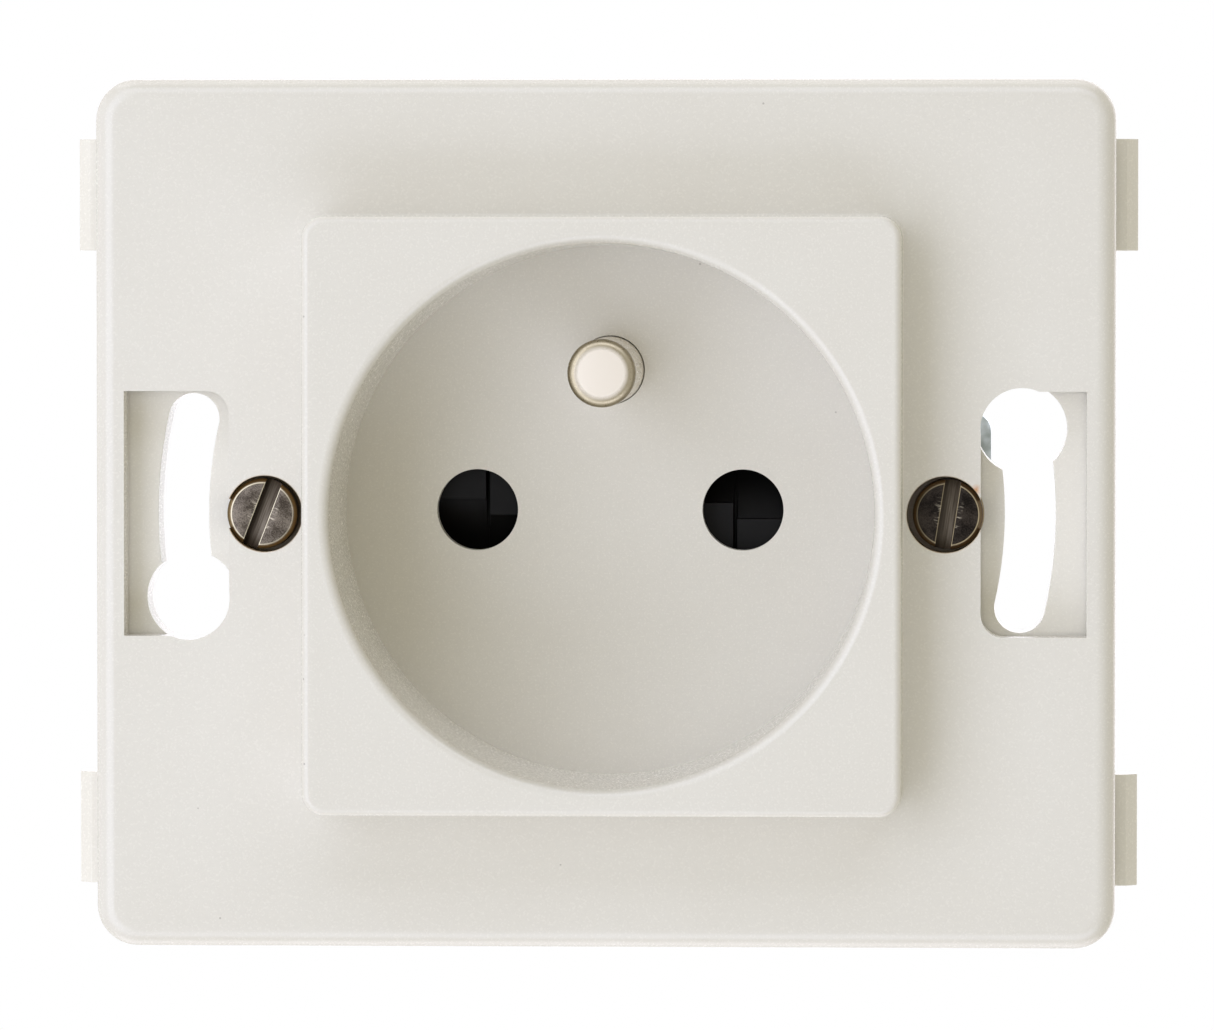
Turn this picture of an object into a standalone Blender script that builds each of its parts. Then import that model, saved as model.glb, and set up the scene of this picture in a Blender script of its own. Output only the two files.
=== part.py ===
"""Flush modular socket outlet: two pin holes, a fixed earth pin, a shutter and spreading claws.

Sizes are in millimetres. The parts are modelled in the wall's own frame, with x to the
right, y up the wall and z out into the room, and z = 0 at the wall's surface. One empty
then stands that frame upright, so that the front faces -Y and the top faces +Z.
"""

import math

import bmesh
import bpy
from mathutils import Matrix, Vector

MM = 0.001
GAP = 0.3                    # clearance between pieces that touch on the real product
CUT_OVER = 1.0               # how far a cutter runs past the face that it opens
OVERLAP = 0.4                # how far two shapes of one piece run into each other
SIDES = (-1, 1)

# Plug recess and the holes in its floor
RECESS_DEPTH = 15.0
RIM_R = 19.1
FLOOR_DRAFT = 0.2            # how much smaller the recess is at its floor
RIM_FILLET = 0.75
CUP_WALL = 1.4
FLOOR_T = 1.8
PIN_SPACING = 19.0
PIN_HOLE_R = 2.9
PLUG_PIN_LENGTH = 19.0

# Square boss and cover plate
BOSS_LAND = 1.15             # flat left between the rim's fillet and the boss's side
BOSS_HEIGHT = 5.5
BOSS_WALL = 1.4
BOSS_CORNER_R = 1.6
BOSS_FILLET = 0.45
PLATE_T = 2.8
COVER_H = 61.3
COVER_CORNER_R = 2.9
EDGE_ROLL = 1.4
SKIRT_T = 1.4

# Distances outwards from the boss to the plate's side edge
BOSS_TO_SCREW = 3.2
SCREW_TO_WINDOW = 2.3
WINDOW_TO_FIXING = 3.5
WINDOW_W = 7.45
WINDOW_TO_EDGE = 2.05
WINDOW_H = 17.3
WINDOW_CORNER_R = 1.6
WINDOW_ROUND_R = 2.93        # the corner that follows the keyhole's round end

# Support frame with its two keyhole slots
FRAME_T = 4.0
KEYHOLE_SLOT_W = 3.6
KEYHOLE_BULB_R = 3.2
KEYHOLE_BULB_ANGLE = 11.5
KEYHOLE_END_ANGLE = 12.8
TAB_REACH = 1.6              # how far the side tabs stand out of the cover
TAB_H = 7.9
TAB_Y = 22.5
TAB_T = 2.5
TAB_CHAMFER = 0.8
FRAME_POCKET_DEPTH = 2.2
FRAME_RIB = 1.6

# Shutter behind the recess floor
SHUTTER_T = 3.4
SHUTTER_HUB_R = 5.2
SHUTTER_MARGIN = 0.9         # how far a lobe reaches past the pin hole that it covers
SHUTTER_TRAVEL = 39.0
SHUTTER_POST_R = 1.8
RAMP_STEP = 0.8
RAMP_END_T = 0.5
RAMP_SPLIT = 0.62            # from the pin hole's centre towards the hub
RAMP_GROOVE = 0.25
OUTER_RAMP_START = 0.7
INNER_RAMP_START = -0.45
CARRIER_FLOOR_T = 1.8
SPRING_COIL_R = 3.2
SPRING_WIRE_R = 0.22
SPRING_TURNS = 2.5
SPRING_PITCH = 0.55
SPRING_ROOM = 0.75           # cavity left on each side of the coil's centre line
SPRING_WEB_T = 1.3           # hub material in front of the spring
SPRING_LEG = 0.8             # how far each leg reaches into its hole

# Earth pin and strap
EARTH_OFFSET = 10.0
EARTH_PIN_R = 2.4
EARTH_PIN_LENGTH = 14.0
EARTH_TIP_R = 1.8
EARTH_FLANGE_R = 3.5
EARTH_FLANGE_T = 1.2
EARTH_RIVET_R = 1.2
EARTH_RIVET_HEAD_R = 1.9
EARTH_RIVET_HEAD_T = 0.7
EARTH_STRAP_W = 4.2
EARTH_EYE_R = 2.9

# Spring contacts and terminals
SHEET_T = 0.8
CONTACT_W = 6.0
CONTACT_GRIP = 3.3           # free gap between the two leaves
CONTACT_MOUTH = 6.2
CONTACT_BASE_GAP = 4.7
CONTACT_TAIL_W = 4.0
CONTACT_FLARE = 0.55         # how far the mouth's throat opens past the grip
CONTACT_LEAD = 0.9           # depth of the flared mouth
CONTACT_BEND = 0.8           # corner at the closed end
CONTACT_BASE_RISE = 2.4      # straight part above the closed end
CONTACT_WAIST = 0.78         # where the leaves grip, as a share of the plug pin's length
TAIL_LEAD = 2.0              # from the contact's mouth to the tail's sideways step
TAIL_STEP = 2.8              # length of that step
PIN_TIP_ROOM = 0.8
CAGE_X = 4.9
EARTH_TO_CAGE = 6.25         # from the earth pin's axis to its terminal
CAGE_W = 7.2
CAGE_L = 6.0
CAGE_WALL = 0.9
CAGE_THREAD_WALL = 2.0
CAGE_WIRE_ROOM = 5.0
CAGE_SET_BACK = 1.3          # from the front of its chamber to the cage
TERMINAL_SCREW_R = 1.6
TERMINAL_HEAD_R = 2.6
TERMINAL_HEAD_T = 2.0
WIRE_HOLE_R = 1.8

# Rear housing, its screws and the pillars that they bite in
PILLAR_X = 13.6
PILLAR_R = 2.1
COLUMN_R = 3.6               # housing material around each pillar's axis
HOUSING_WALL = 1.6
HOUSING_REAR_T = 2.0
HOUSING_CORNER_R = 2.5
LUG_W = 24.0
LUG_REACH = 3.2
LUG_T = 2.3
PEG_R = 1.1
PEG_L = 2.5
HOUSING_SCREW_R = 1.2
HOUSING_SCREW_BITE = 6.2
HOUSING_SCREW_SHANK = 9.5    # length inside the housing
HOUSING_HEAD_R = 2.2
HOUSING_HEAD_T = 1.6

# Spreading claws
CLAW_SCREW_R = 1.5
CLAW_SCREW_LENGTH = 22.0
CLAW_HEAD_R = 2.45
CLAW_HEAD_T = 2.4
COUNTERBORE_R = 2.75
COUNTERBORE_INSET = 0.1      # the counterbore sits this much nearer the boss
CLAW_SHEET = 1.0
CLAW_FLANGE_OUT = 6.8        # half the height of the claw's channel
CLAW_BEND_R = 1.3
CLAW_WEB_CLEAR = 0.5         # from the screw's shank to the claw's web
CLAW_PIVOT_IN = 4.7          # from the screw's axis to the pivot
CLAW_PIVOT_DROP = 2.7        # from the housing's front rim to the pivot
CLAW_PIVOT_R = 1.1
CLAW_EYE_R = 2.0
CLAW_TAB_DROP = 0.85
CLAW_LENGTH = 13.5
CLAW_TOOTH = 1.5
TOOTH_COUNT = 3
EAR_OUT = 1.7                # from the pivot to the ear's outer face
EAR_REAR = 4.8
SCREW_SLOT_W = 1.0
SCREW_SLOT_DEPTH = 1.0
SCREW_CHAMFER = 0.25
CLAW_SCREW_TURN = {-1: -20.0, 1: -9.0}

# Facets
ROUND_STEPS = 72
HOLE_STEPS = 32
SMALL_STEPS = 20
TINY_STEPS = 12
LOBE_STEPS = 10
CORNER_STEPS = 5
FILLET_STEPS = 4

# Levels along z, from the front of the boss to the back of the housing
PLATE_BACK = FRAME_T + GAP
PLATE_FRONT = PLATE_BACK + PLATE_T
BOSS_FRONT = PLATE_FRONT + BOSS_HEIGHT
FLOOR_FRONT = BOSS_FRONT - RECESS_DEPTH
FLOOR_BACK = FLOOR_FRONT - FLOOR_T
HOUSING_FRONT = FLOOR_BACK - GAP
SHUTTER_BACK = HOUSING_FRONT - SHUTTER_T
CARRIER_FRONT = SHUTTER_BACK - GAP
CARRIER_BACK = CARRIER_FRONT - CARRIER_FLOOR_T
CHAMBER_FRONT = CARRIER_BACK - GAP
CONTACT_BACK = FLOOR_FRONT - PLUG_PIN_LENGTH - PIN_TIP_ROOM - SHEET_T
CHAMBER_BACK = CONTACT_BACK - GAP
HOUSING_BACK = CHAMBER_BACK - HOUSING_REAR_T
SKIRT_END = TAB_T + GAP
CAGE_FRONT = CHAMBER_FRONT - CAGE_SET_BACK
CAGE_BACK = CAGE_FRONT - CAGE_WALL - CAGE_WIRE_ROOM - CAGE_THREAD_WALL
TAIL_FRONT = CAGE_FRONT - CAGE_WALL - GAP
TAIL_BACK = TAIL_FRONT - SHEET_T
STRAP_FRONT = CHAMBER_FRONT - GAP
STRAP_BACK = STRAP_FRONT - SHEET_T
CLAW_PIVOT_Z = HOUSING_FRONT - CLAW_PIVOT_DROP
CLAW_TAB_Z = CLAW_PIVOT_Z - CLAW_TAB_DROP

# Distances across the wall
PIN_X = PIN_SPACING / 2
FLOOR_R = RIM_R - FLOOR_DRAFT
CUP_R = RIM_R + CUP_WALL
BOSS_HALF = RIM_R + RIM_FILLET + BOSS_LAND
SCREW_X = BOSS_HALF + BOSS_TO_SCREW
WINDOW_INNER_X = SCREW_X + SCREW_TO_WINDOW
FIXING_X = WINDOW_INNER_X + WINDOW_TO_FIXING
WINDOW_OUTER_X = WINDOW_INNER_X + WINDOW_W
COVER_W = 2 * (WINDOW_OUTER_X + WINDOW_TO_EDGE)
FRAME_W = COVER_W - 2 * (SKIRT_T + GAP)
FRAME_H = COVER_H - 2 * (SKIRT_T + GAP)
OPENING_HALF = CUP_R + GAP
PILLAR_Y = math.sqrt((CUP_R + PILLAR_R - OVERLAP) ** 2 - PILLAR_X ** 2)
CAGE_Y = EARTH_OFFSET + EARTH_TO_CAGE
BAY_HALF_H = max(CAGE_Y + CAGE_L / 2 + GAP, PILLAR_Y + COLUMN_R - HOUSING_WALL)
HOUSING_HALF_H = BAY_HALF_H + HOUSING_WALL
HOUSING_HALF_W = PILLAR_X + COLUMN_R
BAY_HALF_W = HOUSING_HALF_W - HOUSING_WALL
COLUMN_EDGE_X = PILLAR_X - COLUMN_R
COLUMN_EDGE_Y = PILLAR_Y - COLUMN_R
SHUTTER_R = PIN_X + PIN_HOLE_R + SHUTTER_MARGIN
SHUTTER_HALF_ANGLE = math.degrees(math.asin(PIN_HOLE_R / PIN_X)) + 2.0
CLAW_PIVOT_X = SCREW_X - CLAW_PIVOT_IN
CLAW_WEB_IN = SCREW_X + CLAW_SCREW_R + CLAW_WEB_CLEAR
CLAW_OUT = CLAW_WEB_IN + CLAW_SHEET
CLAW_FLANGE_IN = CLAW_FLANGE_OUT - CLAW_SHEET
EAR_HALF_H = CLAW_FLANGE_IN - GAP
SCREW_PLACES = ((PILLAR_X, PILLAR_Y), (-PILLAR_X, -PILLAR_Y))
PEG_PLACES = ((-PILLAR_X, PILLAR_Y), (PILLAR_X, -PILLAR_Y))


def clear_scene():
    for obj in list(bpy.data.objects):
        bpy.data.objects.remove(obj, do_unlink=True)


def material(name, colour, roughness, metallic=0.0):
    made = bpy.data.materials.new(name)
    made.use_nodes = True
    shader = made.node_tree.nodes["Principled BSDF"]
    shader.inputs["Base Color"].default_value = (*colour, 1.0)
    shader.inputs["Roughness"].default_value = roughness
    shader.inputs["Metallic"].default_value = metallic
    return made


# Outlines

def arc(centre, radius, start, end, steps):
    """Points along an arc, with both ends, from start to end degrees."""
    points = []
    for i in range(steps + 1):
        angle = math.radians(start + (end - start) * i / steps)
        points.append((centre[0] + radius * math.cos(angle), centre[1] + radius * math.sin(angle)))
    return points


def circle(radius, steps, centre=(0.0, 0.0)):
    return arc(centre, radius, 0.0, 360.0 * (steps - 1) / steps, steps - 1)


def rectangle(left, right, bottom, top):
    return [(left, bottom), (right, bottom), (right, top), (left, top)]


def rounded_rectangle(half_w, half_h, radius):
    points = []
    for quarter, (sx, sy) in enumerate(((1, 1), (-1, 1), (-1, -1), (1, -1))):
        centre = (sx * (half_w - radius), sy * (half_h - radius))
        points += arc(centre, radius, 90.0 * quarter, 90.0 * (quarter + 1), CORNER_STEPS)
    return points


def ring_sector(inner, outer, start, end, steps):
    outside = arc((0.0, 0.0), outer, start, end, steps)
    inside = arc((0.0, 0.0), inner, end, start, steps)
    return outside + inside


def ribbon(path, thickness):
    """Outline of a bent sheet, from the centre line of its edge."""
    left, right = [], []
    for i, point in enumerate(path):
        here = Vector(point)
        before = (here - Vector(path[i - 1])).normalized() if i > 0 else None
        after = (Vector(path[i + 1]) - here).normalized() if i + 1 < len(path) else None
        before = before or after
        after = after or before
        along = (before + after).normalized()
        normal = Vector((-along.y, along.x))
        reach = thickness / 2 / max(0.5, normal.dot(Vector((-after.y, after.x))))
        left.append(tuple(here + normal * reach))
        right.append(tuple(here - normal * reach))
    return left + right[::-1]


# Solids, each a closed bmesh

def stack(loops):
    """Skin through equal loops of points, closed by a face at each end."""
    shape = bmesh.new()
    rings = [[shape.verts.new(Vector(point) * MM) for point in loop] for loop in loops]
    count = len(rings[0])
    for lower, upper in zip(rings, rings[1:]):
        for i in range(count):
            j = (i + 1) % count
            shape.faces.new((lower[i], lower[j], upper[j], upper[i]))
    shape.faces.new(rings[0])
    shape.faces.new(rings[-1])
    bmesh.ops.recalc_face_normals(shape, faces=shape.faces)
    return shape


def prism(outline, low, high):
    """Outline in the plane of the wall, drawn out along z."""
    return stack([[(x, y, z) for x, y in outline] for z in (low, high)])


def prism_x(outline, low, high):
    """Outline of (y, z) points, drawn out along x."""
    return stack([[(x, y, z) for y, z in outline] for x in (low, high)])


def prism_y(outline, low, high):
    """Outline of (x, z) points, drawn out along y."""
    return stack([[(x, y, z) for x, z in outline] for y in (low, high)])


def block(x_span, y_span, z_span):
    return prism(rectangle(*sorted(x_span), *sorted(y_span)), *sorted(z_span))


def turned(profile, steps, centre=(0.0, 0.0)):
    """Solid of revolution about z, through (radius, z) points."""
    return stack([[(x, y, z) for x, y in circle(radius, steps, centre)] for radius, z in profile])


def cylinder(radius, low, high, steps, centre=(0.0, 0.0)):
    return turned(((radius, low), (radius, high)), steps, centre)


def cylinder_y(radius, low, high, steps, centre):
    """Cylinder along y, centred at (x, z)."""
    return prism_y(circle(radius, steps, centre), low, high)


def mirrored(shape, side):
    """The same shape, or its mirror image on the other side of the middle plane."""
    if side < 0:
        bmesh.ops.scale(shape, vec=(-1.0, 1.0, 1.0), verts=shape.verts)
        bmesh.ops.reverse_faces(shape, faces=shape.faces)
    return shape


# Objects

def place(name, shape, parent, colour=None, origin=(0.0, 0.0, 0.0)):
    """Object from a shape in the wall's frame, with its own origin at the point given."""
    shift = Vector(origin) * MM
    bmesh.ops.translate(shape, vec=-shift, verts=shape.verts)
    mesh = bpy.data.meshes.new(name)
    shape.to_mesh(mesh)
    shape.free()
    mesh.shade_smooth()
    mesh.set_sharp_from_angle(angle=math.radians(35.0))
    obj = bpy.data.objects.new(name, mesh)
    bpy.context.scene.collection.objects.link(obj)
    obj.parent = parent
    obj.location = shift
    if colour:
        mesh.materials.append(colour)
    return obj


def combine(obj, operation, shapes):
    """Adds one Boolean for each shape, whose object stays hidden as a guide."""
    for i, shape in enumerate(shapes):
        label = f"{obj.name}_{operation.lower()}_{len(obj.modifiers)}"
        tool = place(label, shape, obj.parent)
        tool.hide_render = True
        tool.display_type = "WIRE"
        modifier = obj.modifiers.new(label, "BOOLEAN")
        modifier.operation = operation
        modifier.solver = "EXACT"
        modifier.object = tool


def cut(obj, *shapes):
    combine(obj, "DIFFERENCE", shapes)


def fuse(obj, *shapes):
    combine(obj, "UNION", shapes)


def keep_common(obj, *shapes):
    combine(obj, "INTERSECT", shapes)


# Front cover

def rolled_slab(half_w, half_h, corner, fillet, low, high):
    """Rounded plate whose front edge rolls over."""
    levels = [(0.0, low)]
    for inset, rise in arc((fillet, 0.0), fillet, 180.0, 90.0, FILLET_STEPS):
        levels.append((inset, high - fillet + rise))
    loops = []
    for inset, z in levels:
        outline = rounded_rectangle(half_w - inset, half_h - inset, corner - inset)
        loops.append([(x, y, z) for x, y in outline])
    return stack(loops)


def recess_shape():
    fillet = arc((RIM_R + RIM_FILLET, BOSS_FRONT - RIM_FILLET), RIM_FILLET, 180.0, 90.0, FILLET_STEPS)
    profile = [(FLOOR_R, FLOOR_FRONT)] + fillet + [(RIM_R + RIM_FILLET, BOSS_FRONT + CUT_OVER)]
    return turned(profile, ROUND_STEPS)


def window_shapes(side):
    """Window through the plate: two square corners, a small round one and one round the keyhole."""
    inner, outer, half = WINDOW_INNER_X, WINDOW_OUTER_X, WINDOW_H / 2
    centre = keyhole_centre(KEYHOLE_BULB_ANGLE)
    low, high = SKIRT_END, PLATE_FRONT + CUT_OVER
    outline = [(outer, -half), (outer, half), (centre[0], half), (inner, centre[1])]
    corner = (inner + WINDOW_CORNER_R, WINDOW_CORNER_R - half)
    outline += arc(corner, WINDOW_CORNER_R, 180.0, 270.0, CORNER_STEPS)
    window = prism(outline, low, high)
    round_end = cylinder(WINDOW_ROUND_R, low, high, HOLE_STEPS, centre)
    return turned_about(side, window), turned_about(side, round_end)


def keyhole_centre(angle):
    turn = math.radians(angle)
    return (FIXING_X * math.cos(turn), FIXING_X * math.sin(turn))


def turned_about(side, shape):
    """The right-hand shape, or the same one turned half a turn for the left-hand side."""
    if side < 0:
        half_turn = Matrix.Rotation(math.pi, 3, "Z")
        bmesh.ops.rotate(shape, cent=(0.0, 0.0, 0.0), matrix=half_turn, verts=shape.verts)
    return shape


def build_front_cover(parent, colour):
    cover = place(
        "front_cover",
        rolled_slab(COVER_W / 2, COVER_H / 2, COVER_CORNER_R, EDGE_ROLL, SKIRT_END, PLATE_FRONT),
        parent,
        colour,
    )
    cavity = rounded_rectangle(COVER_W / 2 - SKIRT_T, COVER_H / 2 - SKIRT_T, COVER_CORNER_R - SKIRT_T)
    cut(cover, prism(cavity, SKIRT_END - CUT_OVER, PLATE_BACK))
    fuse(cover, rolled_slab(BOSS_HALF, BOSS_HALF, BOSS_CORNER_R, BOSS_FILLET, PLATE_BACK, BOSS_FRONT))
    hollow = BOSS_HALF - BOSS_WALL
    boss_back = BOSS_FRONT - BOSS_WALL
    cut(cover, prism(rectangle(-hollow, hollow, -hollow, hollow), PLATE_BACK - CUT_OVER, boss_back))
    fuse(cover, cylinder(CUP_R, FLOOR_BACK, boss_back + OVERLAP, ROUND_STEPS))
    for centre in SCREW_PLACES + PEG_PLACES:
        fuse(cover, cylinder(PILLAR_R, FLOOR_BACK, boss_back + OVERLAP, SMALL_STEPS, centre))
    for centre in PEG_PLACES:
        fuse(cover, cylinder(PEG_R, FLOOR_BACK - PEG_L, FLOOR_BACK + OVERLAP, SMALL_STEPS, centre))
    for centre in SCREW_PLACES:
        bite = FLOOR_BACK + HOUSING_SCREW_BITE + GAP
        cut(cover, cylinder(HOUSING_SCREW_R + GAP, FLOOR_BACK - CUT_OVER, bite, SMALL_STEPS, centre))
    cut(cover, recess_shape())
    through = (FLOOR_BACK - CUT_OVER, FLOOR_FRONT + CUT_OVER)
    for side in SIDES:
        cut(cover, cylinder(PIN_HOLE_R, *through, HOLE_STEPS, (side * PIN_X, 0.0)))
        cut(cover, *window_shapes(side))
        counterbore = (side * (SCREW_X - COUNTERBORE_INSET), 0.0)
        span = (PLATE_BACK - CUT_OVER, PLATE_FRONT + CUT_OVER)
        cut(cover, cylinder(COUNTERBORE_R, *span, HOLE_STEPS, counterbore))
    cut(cover, cylinder(EARTH_PIN_R + GAP, *through, HOLE_STEPS, (0.0, EARTH_OFFSET)))
    return cover


# Support frame

def keyhole_shapes(side):
    """Curved slot about the socket's middle, and the round end that passes a screw's head."""
    half = KEYHOLE_SLOT_W / 2
    start, stop = KEYHOLE_BULB_ANGLE, -KEYHOLE_END_ANGLE
    outline = arc((0.0, 0.0), FIXING_X + half, start, stop, 10)
    outline += arc(keyhole_centre(stop), half, stop, stop - 180.0, 10)[1:-1]
    outline += arc((0.0, 0.0), FIXING_X - half, stop, start, 10)
    span = (-CUT_OVER, FRAME_T + CUT_OVER)
    round_end = cylinder(KEYHOLE_BULB_R, *span, HOLE_STEPS, keyhole_centre(start))
    return turned_about(side, prism(outline, *span)), turned_about(side, round_end)


def frame_tab(x_side, y_side):
    reach = COVER_W / 2 + TAB_REACH
    root = FRAME_W / 2 - OVERLAP
    profile = [
        (root, 0.0),
        (reach, 0.0),
        (reach, TAB_T - TAB_CHAMFER),
        (reach - TAB_CHAMFER, TAB_T),
        (root, TAB_T),
    ]
    middle = y_side * TAB_Y
    return mirrored(prism_y(profile, middle - TAB_H / 2, middle + TAB_H / 2), x_side)


def frame_pocket(x_side, y_side):
    """Hollow in the frame's back that keeps its wall even."""
    inner = OPENING_HALF + FRAME_RIB
    outer = FRAME_W / 2 - FRAME_RIB
    low = WINDOW_H / 2 + KEYHOLE_BULB_R
    high = FRAME_H / 2 - FRAME_RIB
    y_span = (y_side * low, y_side * high)
    return mirrored(block((inner, outer), y_span, (-CUT_OVER, FRAME_POCKET_DEPTH)), x_side)


def build_support_frame(parent, colour):
    outline = rounded_rectangle(FRAME_W / 2, FRAME_H / 2, COVER_CORNER_R - SKIRT_T - GAP)
    frame = place("support_frame", prism(outline, 0.0, FRAME_T), parent, colour)
    opening = rounded_rectangle(OPENING_HALF, OPENING_HALF, BOSS_CORNER_R)
    cut(frame, prism(opening, -CUT_OVER, FRAME_T + CUT_OVER))
    for side in SIDES:
        cut(frame, *keyhole_shapes(side))
        hole = (side * SCREW_X, 0.0)
        cut(frame, cylinder(CLAW_SCREW_R + GAP, -CUT_OVER, FRAME_T + CUT_OVER, SMALL_STEPS, hole))
        for y_side in SIDES:
            cut(frame, frame_pocket(side, y_side))
            fuse(frame, frame_tab(side, y_side))
    return frame


# Rear housing

def bay_outline(inset):
    """Plus-shaped bay between the four corner columns."""
    w, h = BAY_HALF_W - inset, BAY_HALF_H - inset
    cx, cy = COLUMN_EDGE_X - inset, COLUMN_EDGE_Y - inset
    quarter = [(w, cy), (cx, cy), (cx, h)]
    points = []
    for sx, sy in ((1, 1), (-1, 1), (-1, -1), (1, -1)):
        corner = [(sx * x, sy * y) for x, y in quarter]
        points += corner if sx * sy > 0 else corner[::-1]
    return points


def housing_lug(y_side):
    """Shoulder that clamps the support frame against the cover."""
    seat = OPENING_HALF
    reach = seat + LUG_REACH
    low = HOUSING_FRONT - LUG_T
    profile = [
        (seat - OVERLAP * 2, low),
        (reach, low),
        (reach, -GAP),
        (seat, -GAP),
        (seat, HOUSING_FRONT),
        (seat - OVERLAP * 2, HOUSING_FRONT),
    ]
    points = [(y_side * y, z) for y, z in profile]
    return prism_x(points, -LUG_W / 2, LUG_W / 2)


def housing_ear(side):
    """Block beside the housing that carries a claw on its two round stubs."""
    x_span = (side * (HOUSING_HALF_W - OVERLAP), side * (CLAW_PIVOT_X + EAR_OUT))
    z_span = (CLAW_PIVOT_Z - EAR_REAR, CLAW_PIVOT_Z + EAR_OUT)
    ear = block(x_span, (-EAR_HALF_H, EAR_HALF_H), z_span)
    stub_end = CLAW_FLANGE_OUT + GAP
    centre = (side * CLAW_PIVOT_X, CLAW_PIVOT_Z)
    return ear, cylinder_y(CLAW_PIVOT_R, -stub_end, stub_end, SMALL_STEPS, centre)


def cage_chamber(x, y_side):
    half = CAGE_W / 2 + GAP
    y_span = (y_side * (CAGE_Y - CAGE_L / 2 - GAP), y_side * (CAGE_Y + CAGE_L / 2 + GAP))
    return block((x - half, x + half), y_span, (CAGE_BACK - GAP, CHAMBER_FRONT + CUT_OVER))


def terminal_openings(x, y_side):
    """Wire hole through the housing's end wall, and the screwdriver's way in from the back."""
    wire_z = TAIL_BACK - WIRE_HOLE_R - GAP
    wall = (y_side * (BAY_HALF_H - CUT_OVER), y_side * (HOUSING_HALF_H + CUT_OVER))
    wire = cylinder_y(WIRE_HOLE_R, *sorted(wall), SMALL_STEPS, (x, wire_z))
    back = (HOUSING_BACK - CUT_OVER, CAGE_BACK)
    driver = cylinder(TERMINAL_HEAD_R + GAP, *back, SMALL_STEPS, (x, y_side * CAGE_Y))
    return wire, driver


def contact_chamber(side):
    half_w = CONTACT_W / 2 + GAP
    half_h = CONTACT_MOUTH / 2 + SHEET_T + GAP
    x_span = (side * PIN_X - half_w, side * PIN_X + half_w)
    return block(x_span, (-half_h, half_h), (CHAMBER_BACK, CHAMBER_FRONT + CUT_OVER))


def tail_channel(side):
    outer = PIN_X + CONTACT_W / 2 + GAP
    inner = CAGE_X - CONTACT_TAIL_W / 2 - GAP
    y_span = (-CAGE_Y, -CONTACT_MOUTH / 2)
    x_span = (side * inner, side * outer)
    return block(x_span, (y_span[0] + CAGE_L / 2, y_span[1]), (TAIL_BACK - GAP, CHAMBER_FRONT + CUT_OVER))


def strap_channel():
    half = EARTH_EYE_R + GAP
    y_span = (EARTH_OFFSET - half, CAGE_Y - CAGE_L / 2)
    return block((-half, half), y_span, (TAIL_BACK - GAP, CHAMBER_FRONT + CUT_OVER))


def build_rear_housing(parent, colour):
    outline = rounded_rectangle(HOUSING_HALF_W, HOUSING_HALF_H, HOUSING_CORNER_R)
    housing = place("rear_housing", prism(outline, HOUSING_BACK, HOUSING_FRONT), parent, colour)
    for side in SIDES:
        fuse(housing, housing_lug(side), *housing_ear(side))
    cut(housing, prism(bay_outline(0.0), CHAMBER_FRONT, HOUSING_FRONT + CUT_OVER))
    for side in SIDES:
        cut(housing, contact_chamber(side), tail_channel(side), cage_chamber(side * CAGE_X, -1))
        cut(housing, *terminal_openings(side * CAGE_X, -1))
    cut(housing, strap_channel(), cage_chamber(0.0, 1), *terminal_openings(0.0, 1))
    head_seat = HOUSING_FRONT - HOUSING_SCREW_SHANK
    for centre in SCREW_PLACES:
        whole = (HOUSING_BACK - CUT_OVER, HOUSING_FRONT + CUT_OVER)
        cut(housing, cylinder(HOUSING_SCREW_R + GAP, *whole, SMALL_STEPS, centre))
        sunk = (HOUSING_BACK - CUT_OVER, head_seat)
        cut(housing, cylinder(HOUSING_HEAD_R + GAP, *sunk, SMALL_STEPS, centre))
    for centre in PEG_PLACES:
        peg_hole = (FLOOR_BACK - PEG_L - GAP, HOUSING_FRONT + CUT_OVER)
        cut(housing, cylinder(PEG_R + GAP, *peg_hole, SMALL_STEPS, centre))
    return housing


# Shutter, its carrier and its spring

def lobe_angles(side, before, after):
    """Angles of a sector about a pin hole, widened against and along the opening turn."""
    middle = 0.0 if side > 0 else 180.0
    return middle + SHUTTER_HALF_ANGLE + before, middle - SHUTTER_HALF_ANGLE - after


def build_shutter_carrier(parent, colour):
    outline = bay_outline(GAP)
    carrier = place("shutter_carrier", prism(outline, CARRIER_BACK, HOUSING_FRONT), parent, colour)
    span = (CARRIER_FRONT, HOUSING_FRONT + CUT_OVER)
    cut(carrier, cylinder(SHUTTER_HUB_R + GAP, *span, HOLE_STEPS))
    stop = math.degrees(GAP / SHUTTER_R)
    for side in SIDES:
        angles = lobe_angles(side, stop, SHUTTER_TRAVEL + stop)
        cut(carrier, prism(ring_sector(SHUTTER_HUB_R / 2, SHUTTER_R + GAP, *angles, LOBE_STEPS), *span))
        hole = (CARRIER_BACK - CUT_OVER, CARRIER_FRONT + CUT_OVER)
        cut(carrier, cylinder(PIN_HOLE_R, *hole, HOLE_STEPS, (side * PIN_X, 0.0)))
    fuse(carrier, cylinder(SHUTTER_POST_R, CARRIER_BACK, HOUSING_FRONT, SMALL_STEPS))
    earth = (0.0, EARTH_OFFSET)
    flange_seat = HOUSING_FRONT - EARTH_FLANGE_T - GAP
    whole = (CARRIER_BACK - CUT_OVER, HOUSING_FRONT + CUT_OVER)
    cut(carrier, cylinder(EARTH_FLANGE_R + GAP, flange_seat, whole[1], HOLE_STEPS, earth))
    cut(carrier, cylinder(EARTH_PIN_R + GAP, *whole, SMALL_STEPS, earth))
    leg_hole = (CARRIER_FRONT - SPRING_LEG - GAP, CARRIER_FRONT + CUT_OVER)
    cut(carrier, cylinder(SPRING_WIRE_R + GAP, *leg_hole, TINY_STEPS, spring_leg(0.0)))
    return carrier


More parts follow.
